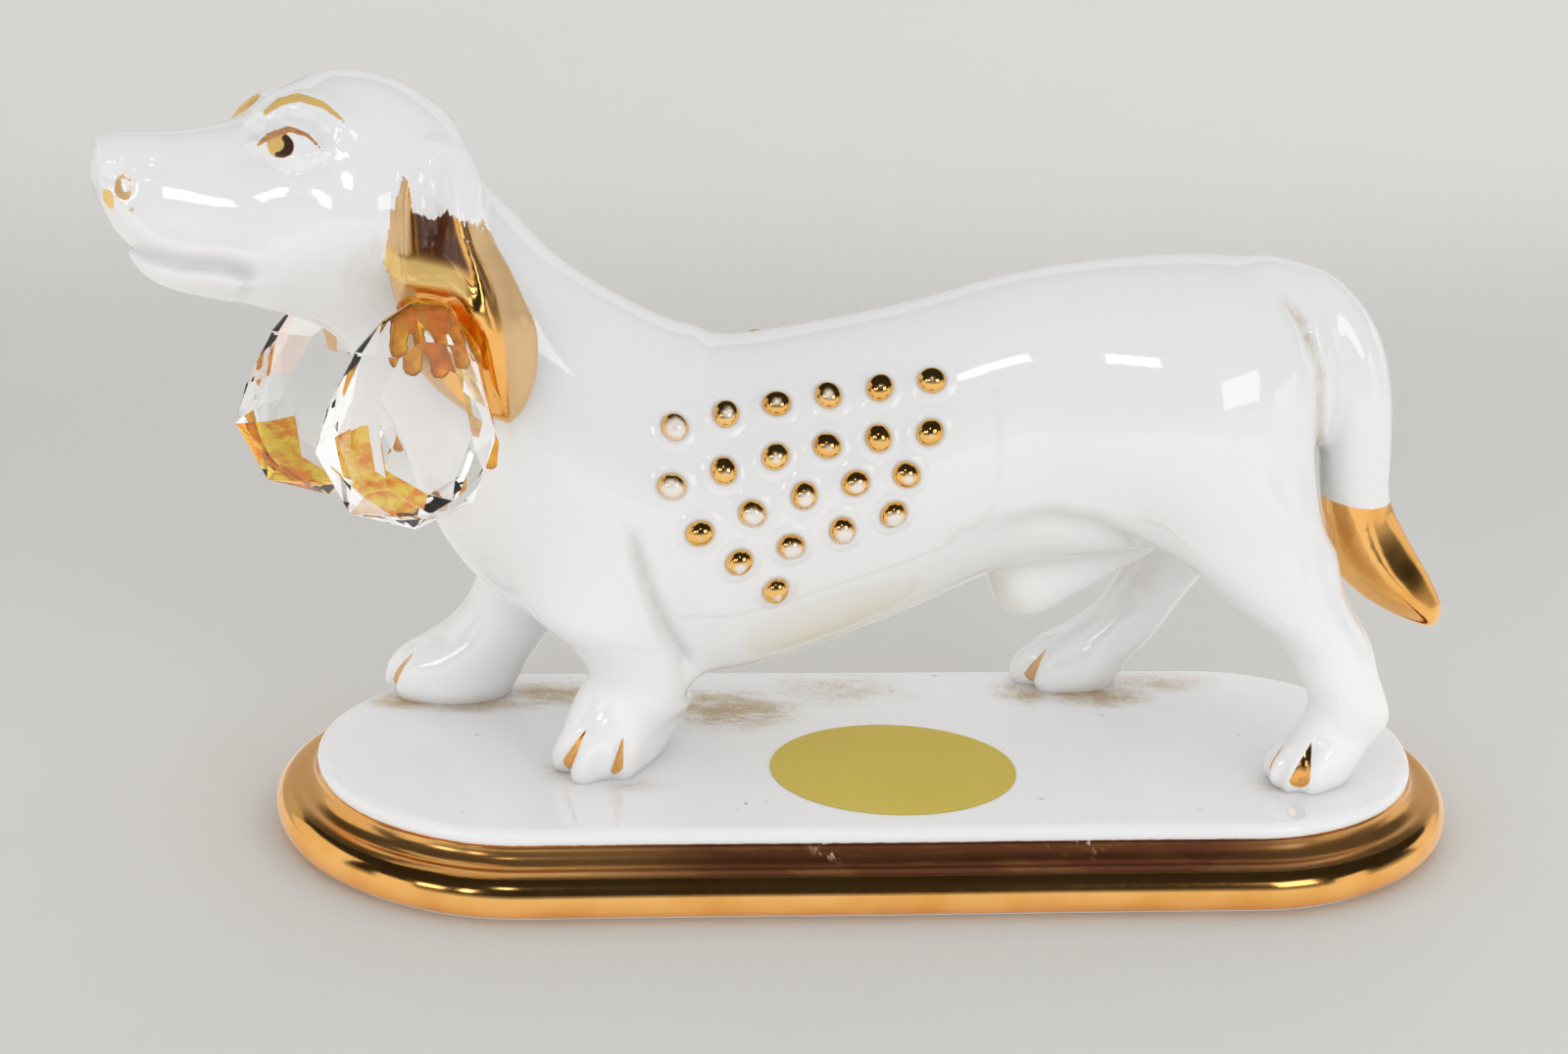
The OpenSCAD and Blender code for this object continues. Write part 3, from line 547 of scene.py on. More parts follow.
def leg_rings(kind, side):
    """Rings of a leg from the plate up into the torso, [x, y, z, half width, back, front]."""
    near = side < 0
    if kind == "fore":
        near_steps = 4 * np.array([0.6, 0.6, 0.75, 1.25, 1.45, 1, 0, 0, 0])
        far_steps = -19 * np.array([1, 1, 0.93, 0.67, 0.54, 0.41, 0.26, 0, -0.1])
        heel, foot = (1.3, 0.7) if near else (0.92, 1.22)
        wrist = (1.62, 0.86, 0.8) if near else (1.08, 0.84, 0.76)
        rows = [(0, foot, 0, 0.84, heel, 0.86), (0, foot, 0.05, 0.98, 1.1 * heel, 0.97),
                (0, 0.1 + 0.9 * foot, 0.16, 0.98, wrist[0], 0.95), (0, 0.25 + 0.75 * foot, 0.29, 0.94, wrist[1], 0.81),
                (0, 0.4 + 0.6 * foot, 0.4, 0.92, wrist[2], 0.73), (0, 0.67 + 0.33 * foot, 0.53, 1, 0.83, 0.81),
                (0, 1, 0.7, 1.1, 0.94, 0.96), (0, 0.85, 0.95, 1.05, 0.98, 0.98), (2, 0.62, 1.1, 0.7, 0.73, 0.73)]
        x0, stance, tall, half, reach = -41.0, 13.0, chest_rise, 6.6, 9.6
    else:
        near_steps = 13.3 * np.array([1, 1, 1.1, 1.24, 1.27, 1.13, 0.95, 0.53, 0.19, 0, 0])
        far_steps = -17 * np.array([1, 1, 0.9, 0.67, 0.46, 0.28, 0.12, 0, 0, 0, 0])
        heel, foot = (0.6, 0.92) if near else (0.88, 1.04)
        rows = [(0, foot, 0, 0.84, heel, 0.88), (0, foot, 0.03, 0.98, 1.1 * heel, 1),
                (0, foot, 0.09, 0.98, 0.15 + 0.95 * heel, 1), (0, foot, 0.15, 0.94, 0.86, 0.88),
                (0, 1, 0.23, 0.88, 0.71, 0.71), (0, 1, 0.32, 0.92, 0.71, 0.71), (0, 0.94, 0.42, 1.06, 0.8, 0.83),
                (0, 0.89, 0.55, 1.2, 1.0, 1.24), (0, 0.83, 0.7, 1.26, 1.3, 1.7), (0, 0.77, 0.88, 1.2, 1.22, 1.7),
                (0, 0.6, 1.06, 0.7, 0.8, 1.1)]
        x0, stance, tall, half, reach = 50.2, 17.5, rump_rise, 5.8, 8.2
    return [[x0 + s + a, side * stance * b, tall * c, half * wide, reach * u, reach * d]
            for s, (a, b, c, wide, u, d) in zip(near_steps if near else far_steps, rows)]


# Creases between the toes of each paw: angle round the paw at the foot and at the top, height of the top,
# and half width of the gold.
toe_creases = {
    ("fore", -1): [(38, 64, 10, 1.15), (75, 78, 8.5, 0), (91, 101, 9, 1.0), (0, 10, 8, 0)],
    ("fore", 1): [(9, 22, 9.5, 0.85), (-38, -34, 8.5, 0.8), (-80, -76, 8, 0.7)],
    ("hind", -1): [(58, 67, 9, 1.5), (37, 44, 7.5, 0), (18, 12, 7.5, 0.85), (-30, -28, 7, 0.6)],
    ("hind", 1): [(24, 30, 7.5, 1.0), (-22, -26, 9.5, 0.9)],
}
toe_turn = {"fore": math.radians(52), "hind": math.radians(38)}


def toe_gap(x, y, z, rows, low, high, top):
    """Distance round a paw from a toe crease. Angles run from the front towards the dog's left."""
    ahead, beside = rows[1][0] - x, rows[1][1] - y
    middle = low + (high - low) * np.clip(z / top, 0, 1)
    return np.radians(np.degrees(np.arctan2(beside, ahead)) - middle) * np.hypot(ahead, beside)


for (kind, side), creases in toe_creases.items():
    rows = leg_rings(kind, side)
    leg_run = smooth_run(rows, 240)
    low_x, high_x = np.min(leg_run[:, 0]) - 22, np.max(leg_run[:, 0]) + 22
    low_y, high_y = sorted((-3 * side, 27 * side))
    part, x, y, z = box((low_x, low_y, -2), (high_x, high_y, rows[-1][2] + 8))
    mid_x, mid_y, half, back, front = [np.interp(z, leg_run[:, 2], leg_run[:, i]).astype(np.float32)
                                       for i in (0, 1, 3, 4, 5)]
    spin = toe_turn[kind] * (side < 0) * (1 - step(z, 5, 13))
    behind = (x - mid_x) * np.cos(spin) + (y - mid_y) * np.sin(spin)
    beside = (y - mid_y) * np.cos(spin) - (x - mid_x) * np.sin(spin)
    gap = ring_gap(beside, behind, half, back, front)
    past = np.maximum(z - rows[-1][2], 0)
    gap = capped(gap, past)
    for low, high, top, _ in creases:
        across = toe_gap(x, y, z, rows, low, high, top)
        fade = step(-z, -top, -0.45 * top)
        gap = gap + fade * (1.2 * bell(across, 0.95) - 0.55 * bell(np.abs(across) - 2.4, 1.5))
    join(part, gap, 6.0 if kind == "hind" else 5.0)

# The crease behind the near shoulder.
part, x, y, z = box((-50, -27, 14), (-20, -6, 46))
shoulder_line = [(-38.5, 41), (-37.4, 38.5), (-35.3, 32), (-32.6, 25.4), (-29.1, 19.2), (-27.5, 14)]
gap, along = line_gap(x, z, shoulder_line)
dog_field[part] += 1.9 * bell(gap, 0.85) * stretch(along, 0.0, 0.35, 0.8, 1.0)

# Tail: round rings from the end of the back down to the tip, [x, y, z, radius].
body_field = dog_field.copy()
tail_run = smooth_run([
    [55, 0, 67.3, 6.0], [60.3, -1.5, 66.6, 5.7], [64.7, -3.5, 62.3, 5.3], [66.7, -5, 55.8, 5.3],
    [67.3, -5.6, 47.6, 5.4], [67.6, -5.7, 41, 5.4], [69.0, -6.3, 35.3, 5.3], [72.1, -7.5, 30.2, 4.9],
    [76.1, -8.5, 26.2, 3.9], [79.6, -9.1, 23.2, 2.4]], 90)
part, x, y, z = box((44, -17, 10), (87, 11, 78))
best = 1e9
for a, m, b, r in tail_run:
    ball = np.sqrt((x - a) ** 2 + (y - m) ** 2 + (z - b) ** 2)
    over, down = 0.82 * (x - a) + 0.57 * (z - b), 0.57 * (x - a) - 0.82 * (z - b)
    edge = 0.8 * (np.abs(over) + np.abs(y - m)) + 0.5 * np.abs(down)
    keen = 0.7 * (1 - step(b, 30, 44))
    best = np.minimum(best, (1 - keen) * ball + keen * np.maximum(edge, 0.8 * ball) - r)
tail_field = np.full(dog_field.shape, 9.0, np.float32)
tail_field[part] = best
join(part, best, 0.9 + 4 * (1 - step(np.hypot(x - 54, z - 67), 4, 11)))


def tail_crease(x, y, z):
    """Distance on the near side from the crease between tail and rump, and the share of the way down it."""
    line = [(53.9, 69.3), (58.2, 63.4), (61.1, 55.9), (62, 45.6), (63.5, 35.2), (65.9, 27.7)]
    return line_gap(x - 0.14 * y, z + 0.41 * y, line)


part, x, y, z = box((44, -27, 22), (80, 1, 80))
gap, along = tail_crease(x, y, z)
dog_field[part] += 1.5 * bell(gap, 0.85) * stretch(along, 0.0, 0.2, 0.85, 1.0) * step(-y, 0, 4)

# The feet stop just under the top of the plate.
dog_field = np.maximum(dog_field, -0.35 - gz[None, None, :].astype(np.float32))
for axis in range(3):
    for _ in range(1 if voxel > 0.6 else 2):
        f = np.moveaxis(dog_field, axis, 0)
        f[1:-1] = 0.25 * f[:-2] + 0.5 * f[1:-1] + 0.25 * f[2:]


def skin_of(field, low, pitch):
    """Points and four-sided faces over the surface where the field is 0."""
    inside = field < 0
    last = np.array(inside.shape) - 1
    total = sum(inside[i:last[0] + i, j:last[1] + j, k:last[2] + k].astype(np.int8) for i, j, k in np.ndindex(2, 2, 2))
    cell = np.argwhere((total > 0) & (total < 8))
    number = np.full(total.shape, -1, np.int32)
    number[tuple(cell.T)] = np.arange(len(cell))
    place, crossings = np.zeros((len(cell), 3)), np.zeros(len(cell))
    corners = [np.array(c) for c in np.ndindex(2, 2, 2)]
    for a in corners:
        for axis in range(3):
            if a[axis] == 0:
                b = a.copy()
                b[axis] = 1
                fa, fb = field[tuple((cell + a).T)], field[tuple((cell + b).T)]
                cut = (fa < 0) != (fb < 0)
                u = np.where(cut, fa / np.where(cut, fa - fb, 1), 0)
                place += np.where(cut[:, None], a + u[:, None] * (b - a), 0)
                crossings += cut
    points = low + pitch * (cell + place / crossings[:, None])
    faces = []
    for axis in range(3):
        o1, o2 = (axis + 1) % 3, (axis + 2) % 3
        near = [slice(None)] * 3
        far = [slice(None)] * 3
        near[axis], far[axis] = slice(0, -1), slice(1, None)
        flip = inside[tuple(near)] != inside[tuple(far)]
        edge = np.argwhere(flip)
        edge = edge[(edge[:, o1] > 0) & (edge[:, o2] > 0) & (edge[:, o1] < last[o1]) & (edge[:, o2] < last[o2])]
        quad = []
        for s1, s2 in ((1, 1), (0, 1), (0, 0), (1, 0)):
            c = edge.copy()
            c[:, o1] -= s1
            c[:, o2] -= s2
            quad.append(number[tuple(c.T)])
        quad = np.stack(quad, 1)
        start_in = inside[tuple(edge.T)]
        quad[~start_in] = quad[~start_in][:, ::-1]
        faces.append(quad)
    return points, np.vstack(faces)


def read(field, points):
    """The field's values at points, and its slope there."""
    s = np.clip((points - grid_low) / voxel, 1, np.array(field.shape) - 2.001)
    i = s.astype(int)
    u = s - i
    value, slope = 0, np.zeros(points.shape)
    for c in np.ndindex(2, 2, 2):
        weight = np.prod([u[:, a] if c[a] else 1 - u[:, a] for a in range(3)], axis=0)
        j = i + c
        value = value + weight * field[tuple(j.T)]
        for a in range(3):
            e = np.zeros(3, int)
            e[a] = 1
            slope[:, a] += weight * (field[tuple((j + e).T)] - field[tuple((j - e).T)]) / (2 * voxel)
    return value, slope


dog_points, dog_faces = skin_of(dog_field, grid_low, voxel)
for _ in range(3):
    value, slope = read(dog_field, dog_points)
    move = (value / np.maximum((slope ** 2).sum(1), 0.2))[:, None] * slope
    dog_points = dog_points - np.clip(move, -0.4 * voxel, 0.4 * voxel)

# How far each point lies inside the gilding, in millimetres, how ragged or thin it is, where reflections are painted
# into the gold, and where it is stained or painted with shade.
px, py, pz = dog_points.T
dog_gilt = np.full(len(px), -5.0)
dog_ragged, dog_thin_and_reflection, dog_reflection_tone = np.zeros((3, len(px)))


def gild(where, level):
    """Lays gold on some of the points, each this far inside its edge."""
    dog_gilt[where] = np.maximum(dog_gilt, level)[where]


# The upper border of the gold on an ear, as x and z.
border = np.array([(-74, 84), (-70.6, 85), (-69.6, 88.6), (-68.8, 89), (-68.3, 84), (-66.5, 83.6), (-65, 82.4),
                   (-63.6, 84.6), (-61.7, 83.6), (-59, 82.6), (-57, 80.5), (-54.5, 76.8), (-52.8, 75.6),
                   (-51.4, 72.4), (-48, 68)])
for side, rows in ear_runs.items():
    mid_x, mid_y, thick, wide, across, down = ear_place(rows, px, pz)
    gap = ring_gap(py - mid_y, px - mid_x, thick + 3.6, wide + 0.9, wide + 0.9)
    on_ear = (gap < 0.2) & (side * py > 0) & (pz > rows[0, 2] - 2) & (pz < rows[-1, 2])
    shift = 0 if side < 0 else np.interp(pz, [55, 92], [12, 0])
    level = np.interp(px + shift, border[:, 0], border[:, 1]) - pz
    level = np.minimum(level, 1.2 - 4 * np.maximum(gap + 0.05, 0))
    level = np.where(side * (py - mid_y) < -1.2, np.minimum(level, -4.0), level)
    gild(on_ear, level)
    dog_ragged = np.where(on_ear, 1.0, dog_ragged)
    # Painted reflections on the ear's gold: yellow on the lip, where it would mirror the floor, tan on the front and
    # back rolls, where they would mirror pale things, and dark brown in the hollow and in a line beside the ridge,
    # where they would mirror the dark room.
    lip_reflection = np.minimum(1, 1.5 * bell(down - 0.45 - 0.04 * across, 0.042)) * (1 - step(across, 0.05, 0.25))
    back_roll = step(across + 0.3 * np.maximum(down - 0.45, 0), 0.49, 0.57)
    pale_reflection = np.maximum(1 - step(across, -0.72, -0.6), back_roll) * 0.95
    dark_reflection = stretch(across, -0.62, -0.5, 0.22, 0.34) * (1 - step(down, 0.38, 0.46))
    dark_reflection = dark_reflection + 0.9 * bell(across - 0.47, 0.06) * (1 - step(down, 0.46, 0.55))
    dog_reflection_tone = np.where(on_ear, (pale_reflection - dark_reflection) * (1 - lip_reflection), dog_reflection_tone)
    dog_thin_and_reflection = np.where(on_ear, lip_reflection, dog_thin_and_reflection)
tail_gap, _ = read(tail_field, dog_points)
body_gap, _ = read(body_field, dog_points)
gap, along = tail_crease(px, py, pz)
tip = 39.6 - 0.12 * (px - 70) - pz
tip = np.minimum(tip, 3 * (body_gap - tail_gap) - 0.4)
on_tail = (tail_gap < 0.8) & (tail_gap < body_gap) & (px > 60)
gild(on_tail, np.minimum(tip, gap - 0.5))
dog_stain_and_shade = np.minimum(1, 1.4 * bell(gap, 0.6)) * step(along, 0.0, 0.2) * (py < -5.5)
dog_stain_and_shade = dog_stain_and_shade * bell(np.maximum(tail_gap, 0), 7)
gap, along = line_gap(px, pz, shoulder_line)
dog_stain_and_shade = np.maximum(dog_stain_and_shade, 0.5 * bell(gap, 0.45) * bell(along - 0.35, 0.3) * (py < -6))
dog_stain_and_shade = np.maximum(dog_stain_and_shade, 0.35 * bell(np.sqrt((px - 41) ** 2 + (py - 15.5) ** 2 + (pz - 19.5) ** 2), 4.5))
gap, _ = line_gap(px, pz, [(13.1, 58.8), (13.5, 53.4), (13.8, 48), (13, 41.2), (10.5, 38.5)])
dog_stain_and_shade = np.maximum(dog_stain_and_shade, 0.16 * bell(gap, 0.6) * (py < -6))
for (kind, side), creases in toe_creases.items():
    rows = leg_rings(kind, side)
    close = (np.hypot(px - rows[1][0], py - rows[1][1]) < 13) & (side * py > 0) & (pz < 12)
    for low, high, top, wide in creases:
        climb = np.clip((pz - 1.0) / (0.85 * top - 1.0), 0, 1)
        taper = 1.25 * wide * np.minimum(1, climb / 0.2) ** 0.6 * (1 - climb) ** 0.8 - 0.12
        level = taper - np.abs(toe_gap(px, py, pz, rows, low, high, top))
        gild(close, level)
        # On the far paws the gold in the creases is painted pale tan, as a painted reflection.
        dog_reflection_tone = np.where(close & (side > 0) & (level > -0.6), 0.8, dog_reflection_tone)
hx, hy, hz = head_place(px, py, pz)
at_head = (hx < 0) & (hz > -14) & (pz > 60)
on_side = at_head & (np.abs(hy) > 4)
# Painted shade: a faint line of the stains' brown along the mouth groove.
gap, along = line_gap(hx, hz, mouth_line)
dog_stain_and_shade = np.maximum(dog_stain_and_shade, np.where(on_side, 0.22 * bell(gap, 0.45) * (1 - step(along, 0.86, 1.0)), 0.0))
iris = np.minimum(1.6 - np.hypot(hx + 21.2, (hz - 14.1) / 1.05), 1.2 * (16.0 - hz))
gap, along = line_gap(hx, hz, lid_line)
lid = 0.4 * np.sin(np.pi * np.clip(0.12 + 0.85 * along, 0, 1)) - gap
gap, along = line_gap(hx, hz, brow_line)
brow = 0.58 * np.sin(np.pi * np.clip(0.12 + 0.84 * along, 0, 1)) ** 0.8 - gap
gild(on_side, np.maximum(np.maximum(iris, lid), brow))
nose_gap = np.sqrt((hx + 41.5) ** 2 + (np.abs(hy) - 4.9) ** 2 + ((hz - 9.7) / 1.55) ** 2)
front_spot = np.sqrt((hx + 43.1) ** 2 + (hy + 3.4) ** 2 + ((hz - 8.6) / 1.5) ** 2)
worn_spot = np.sqrt((hx + 40.7) ** 2 + (hy + 5.4) ** 2 + (hz - 6.7) ** 2)
# Painted highlight: the middle of each nostril is left white inside a ring of gold, as a glint.
painted_glint = np.sqrt((hx + 41.2) ** 2 + (np.abs(hy) - 4.9) ** 2 + ((hz - 10.0) / 1.7) ** 2)
nostril = np.maximum(np.minimum(1.15 - nose_gap, painted_glint - 0.6), np.maximum(1.1 - front_spot, 0.35 - worn_spot))
gild(at_head, nostril)
brow_x = hx + 22.8
far_brow = 1.0 - np.sqrt((brow_x / 2.0) ** 2 + ((hz - 20.4 - 0.8 * brow_x) / 1.1) ** 2 + ((hy - 3.9) / 1.9) ** 2)
gild(at_head, far_brow)
dog_thin_and_reflection = np.where(on_side & (np.maximum(lid, brow) > -0.6), np.where(brow > lid, 1.0, 0.55), dog_thin_and_reflection)
dog_copper = np.where(on_side & (lid > -0.6) & (lid > brow) & (lid > iris - 0.3), 1.0, 0.0)
dog_thin_and_reflection = np.where(on_side & (iris > -0.1) & (hz < 15.6), 0.9, dog_thin_and_reflection)
dog_thin_and_reflection = np.where(at_head & (np.maximum(nostril, far_brow) > -0.5), 0.8, dog_thin_and_reflection)
# The nostrils' gold is painted pale tan, as a painted reflection.
dog_reflection_tone = np.where(at_head & (1.6 - nose_gap > 0), 0.75, dog_reflection_tone)
crescent = np.minimum(np.hypot(hx + 21.9, hz - 14.35) - 1.05, hx + 21.6 + 0.5 * (14.1 - hz))
dog_pupil = np.where(on_side, np.minimum(iris, crescent), -5.0)

glaze_dog, w, coat = finish_material("dog_glaze")
p = w.place()
# Painted light: the glaze is painted about a tenth lighter low down, fading out between 16 and 52 mm above the floor,
# in place of light reaching the legs and belly.
low = 1 - p.node("SeparateXYZ", {}, {0: p}, 2).rise(16.0, 52.0)
glazed = p.grain(26.0, 2.0).between(porcelain_white, tinted(porcelain_white, 0.975, 0.977, 0.98))
glazed = low.between(glazed, tinted(porcelain_white, 1.11, 1.11, 1.11))
# Brown stains, with the painted shade along the mouth in the same colour.
stain_and_shade = w.attribute("stain_and_shade") * p.grain(2.5, 3.0).rise(0.2, 0.75)
glazed = (0.8 * stain_and_shade).between(glazed, dust_brown)
pits = p.grain(1.2, 0.0).rise(0.85, 0.865) * p.grain(18.0).rise(0.55, 0.66)
glazed = (0.35 * pits).between(glazed, (0.36, 0.31, 0.28))
brush = (p.stretched(1, 1, 0.3).grain(1.5, 4.0, 0.65) - 0.5) * 5.0
gilt = w.attribute("gilt") + (p.grain(0.8, 2.0) - 0.5) * 0.3 + w.attribute("ragged") * brush
worn = p.grain(1.7, 3.0).rise(0.70, 0.78) * 0.5
colour, film, rough = gilded(w, gilt, glazed, 0.055, worn)
# Painted reflections in the gold: the thin gold's pale yellow also paints the floor mirrored in the ear's lip, and the
# tone paints pale tan where it is above 0 and streaky dark brown where it is below 0.
thin_and_reflection = w.attribute("thin_and_reflection").rise(0.0, 1.0) * film
pupil = w.attribute("pupil").rise(-0.1, 0.15) * film
painted_pale_reflection = w.attribute("tone").rise(0.0, 1.0) * film
streaky = (0.7 + 0.6 * p.stretched(1, 1, 0.3).grain(0.9, 3.0)).least(1.0)
painted_dark_reflection = (0 - w.attribute("tone")).rise(0.0, 1.0) * film * streaky
colour = painted_pale_reflection.between(thin_and_reflection.between(colour, (0.82, 0.55, 0.18)), (0.66, 0.43, 0.21))
copper = w.attribute("copper").rise(0.0, 1.0) * film
copper_tone = p.grain(0.7, 2.0).between((0.78, 0.42, 0.18), (0.40, 0.15, 0.055))
colour = copper.between(painted_dark_reflection.between(colour, (0.085, 0.024, 0.008)), copper_tone)
colour = pupil.between(colour, (0.05, 0.02, 0.01))
coat(
    Base_Color=colour,
    Metallic=film * (1 - 0.75 * thin_and_reflection.most(painted_pale_reflection).most(copper)) * (1 - pupil.most(0.75 * painted_dark_reflection)),
    Roughness=thin_and_reflection.most(painted_pale_reflection).most(painted_dark_reflection).blend(rough, 0.3),
    IOR=1.57,
    Specular_IOR_Level=0.7,
    Normal=w.node("Bump", {}, {"Strength": 0.05, "Distance": 0.0004, "Height": p.grain(4.5, 2.0)}),
)
dog = mesh_piece("porcelain_dog", dog_points + dog_stand, dog_faces, glaze_dog)
for name, values in {"gilt": dog_gilt, "ragged": dog_ragged, "stain_and_shade": dog_stain_and_shade, "thin_and_reflection": dog_thin_and_reflection, "tone": dog_reflection_tone,
                     "copper": dog_copper, "pupil": dog_pupil}.items():
    paint(dog, name, values)
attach(dog, "root")
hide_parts("torso", "head", "left_ear", "right_ear", "left_foreleg", "right_foreleg", "left_hindleg",
            "right_hindleg", "tail")

# Dots
# Drops of slip set in rows on each flank, each a ball with a wide collar where the glaze ran round it.
# Each ball is gilded, and the gold is rubbed off the highest point of many of them.

dot_pitch = 7.2
side_names = ((-1, "left"), (1, "right"))
# Rows of a flank: place of the first dot from the chest, heights of the first and last as shares, bow,
# and the rubbed radius of each dot.
dot_rows = [
    (-10.8, 0.7, 0.94, 0, [1.3, 0.6, 0.35, 0.5, 0, 0]),
    (-11.2, 0.4, 0.68, 0.04, [1.3, 0.1, 0.5, 0.2, 0, 0]),
    (-7.2, 0.14, 0.45, 0.05, [0, 1.15, 0.9, 0.8, 0.6]),
    (-1.6, -0.03, 0.22, 0, [0.7, 1.2, 1.15, 1.15]),
    (3.8, -0.22, -0.22, 0, [0.4]),
]
ball = arc(0, 0.42, 1.95, 90, -8, 12) * [1, 0.82]
dot_profile = np.vstack([ball, [(2.05, 0.2), (2.35, 0.26), (2.7, 0.22), (3.05, 0.11), (3.4, 0.0), (3.8, -0.14)]])
dot_turns = np.radians(np.arange(0, 360, 360 / 28))
glaze_dots, w, coat = finish_material("dots_glaze")
p = w.place()
gilt = w.attribute("gilt") + (p.grain(0.7, 3.0) - 0.5) * 0.9
worn = (w.attribute("wear") + 0.1 + (p.grain(0.6, 3.0) - 0.5) * 0.9).rise(-0.5, 0.45)
glazed = p.grain(9.0, 2.0).between(porcelain_white, tinted(porcelain_white, 0.97, 0.97, 0.97))
colour, film, rough = gilded(w, gilt, glazed, 0.055, worn * 1.08, (0.93, 0.58, 0.20))
coat(Base_Color=colour, Metallic=film, Roughness=rough, IOR=1.57)
for side, name in side_names:
    verts, faces, dot_gilt, dot_wear = [], [], [], []
    for first_x, low, high, bow, rubs in dot_rows:
        for i, rub in enumerate(rubs):
            u = i / max(1, len(rubs) - 1)
            rise = low + u * (high - low) + bow * math.sin(math.pi * u)
            # Steps inwards from beside the dog, to the first that is in it.
            feel = np.zeros((900, 3))
            feel[:] = chest_x + first_x + i * dot_pitch, 0, chest_rise + chest_half_height * rise
            feel[:, 1] = side * np.linspace(26.5, 4, len(feel))
            seat = feel[np.argmax(read(dog_field, feel)[0] < 0)]
            n = read(dog_field, seat[None])[1][0]
            n = n / np.linalg.norm(n)
            e1 = np.cross((0, 0, 1), n)
            e1 = e1 / np.linalg.norm(e1)
            e2 = np.cross(n, e1)
            lump = 1 + 0.05 * np.sin(2 * dot_turns + 2.1 * i + 5 * low)
            start = len(verts)
            for j, (radius, height) in enumerate(dot_profile):
                spin, out = (dot_turns, radius * lump) if j else (np.zeros(1), np.zeros(1))
                base = seat + out[:, None] * (np.cos(spin)[:, None] * e1 + np.sin(spin)[:, None] * e2)
                drop = (1 - step(height, 0.6, 1.2)) * read(dog_field, base)[0]
                verts.extend(base + (height - drop)[:, None] * n)
                dot_gilt.extend([1.35 - max(0, j - 7) * 0.45] * len(spin))
                worn_gap = rub - np.hypot(radius * np.cos(spin), radius * np.sin(spin) + 0.4)
                dot_wear.extend(worn_gap if j < len(ball) else [-3] * len(spin))
            m = len(dot_turns)
            faces.extend((start, start + 1 + k, start + 1 + (k + 1) % m) for k in range(m))
            faces.extend(ring_faces(len(dot_profile) - 1, m, start + 1))
            faces.append(range(len(verts) - 1, len(verts) - 1 - m, -1))
    dots = mesh_piece(name + "_gilded_dots", np.array(verts) + dog_stand, faces, glaze_dots, crease=60)
    paint(dots, "gilt", dot_gilt)
    paint(dots, "wear", dot_wear)
    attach(dots, "root")
    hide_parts(name + "_dots")

# Crystals
# A pear-shaped drop of lead crystal on each ear, cut with a flat table, two rows of facets and a sharp girdle,
# and polished. Each is glued by its back to the ear's outer face.

crystal_half_depth = 5.4
# Corners of the girdle, the middle row and the table, as x and z from the middle of the drop.
# The third number of the middle row is its share of the half depth.
girdle = [(0.6, 16.3), (5.4, 15.9), (9.4, 7.4), (12.1, -2.8), (9.2, -12.2), (1.5, -16.3), (-7.4, -14.0),
          (-12.1, -5.2), (-10.6, 1.0), (-6.8, 9.2), (-3.4, 13.4)]
middle_row = [(-7.6, -3.6, 0.69), (-5.4, -9.8, 0.72), (-0.8, -13.2, 0.64), (6.4, -12.2, 0.55), (10.4, -7.0, 0.5),
              (10.5, 2.2, 0.5), (7.6, 11.0, 0.55), (-4.4, 9.8, 0.66), (-7.4, 3.4, 0.66)]
table = [(1.6, 12.6), (4.8, 12.2), (7.2, 5.5), (9.0, -3.0), (6.8, -9.6), (3.2, -12.0), (-2.6, -8.4), (-3.6, -2.0),
         (-3.6, 5.0), (-1.2, 10.2)]


def clear_where(material, share):
    """Lets light straight through a material where share is 1."""
    tree = material.node_tree
    mix = tree.nodes.new("ShaderNodeMixShader")
    tree.links.new(share.socket, mix.inputs["Fac"])
    tree.links.new(tree.nodes["Principled BSDF"].outputs["BSDF"], mix.inputs[1])
    tree.links.new(tree.nodes.new("ShaderNodeBsdfTransparent").outputs["BSDF"], mix.inputs[2])
    tree.links.new(mix.outputs["Shader"], tree.nodes["Material Output"].inputs["Surface"])


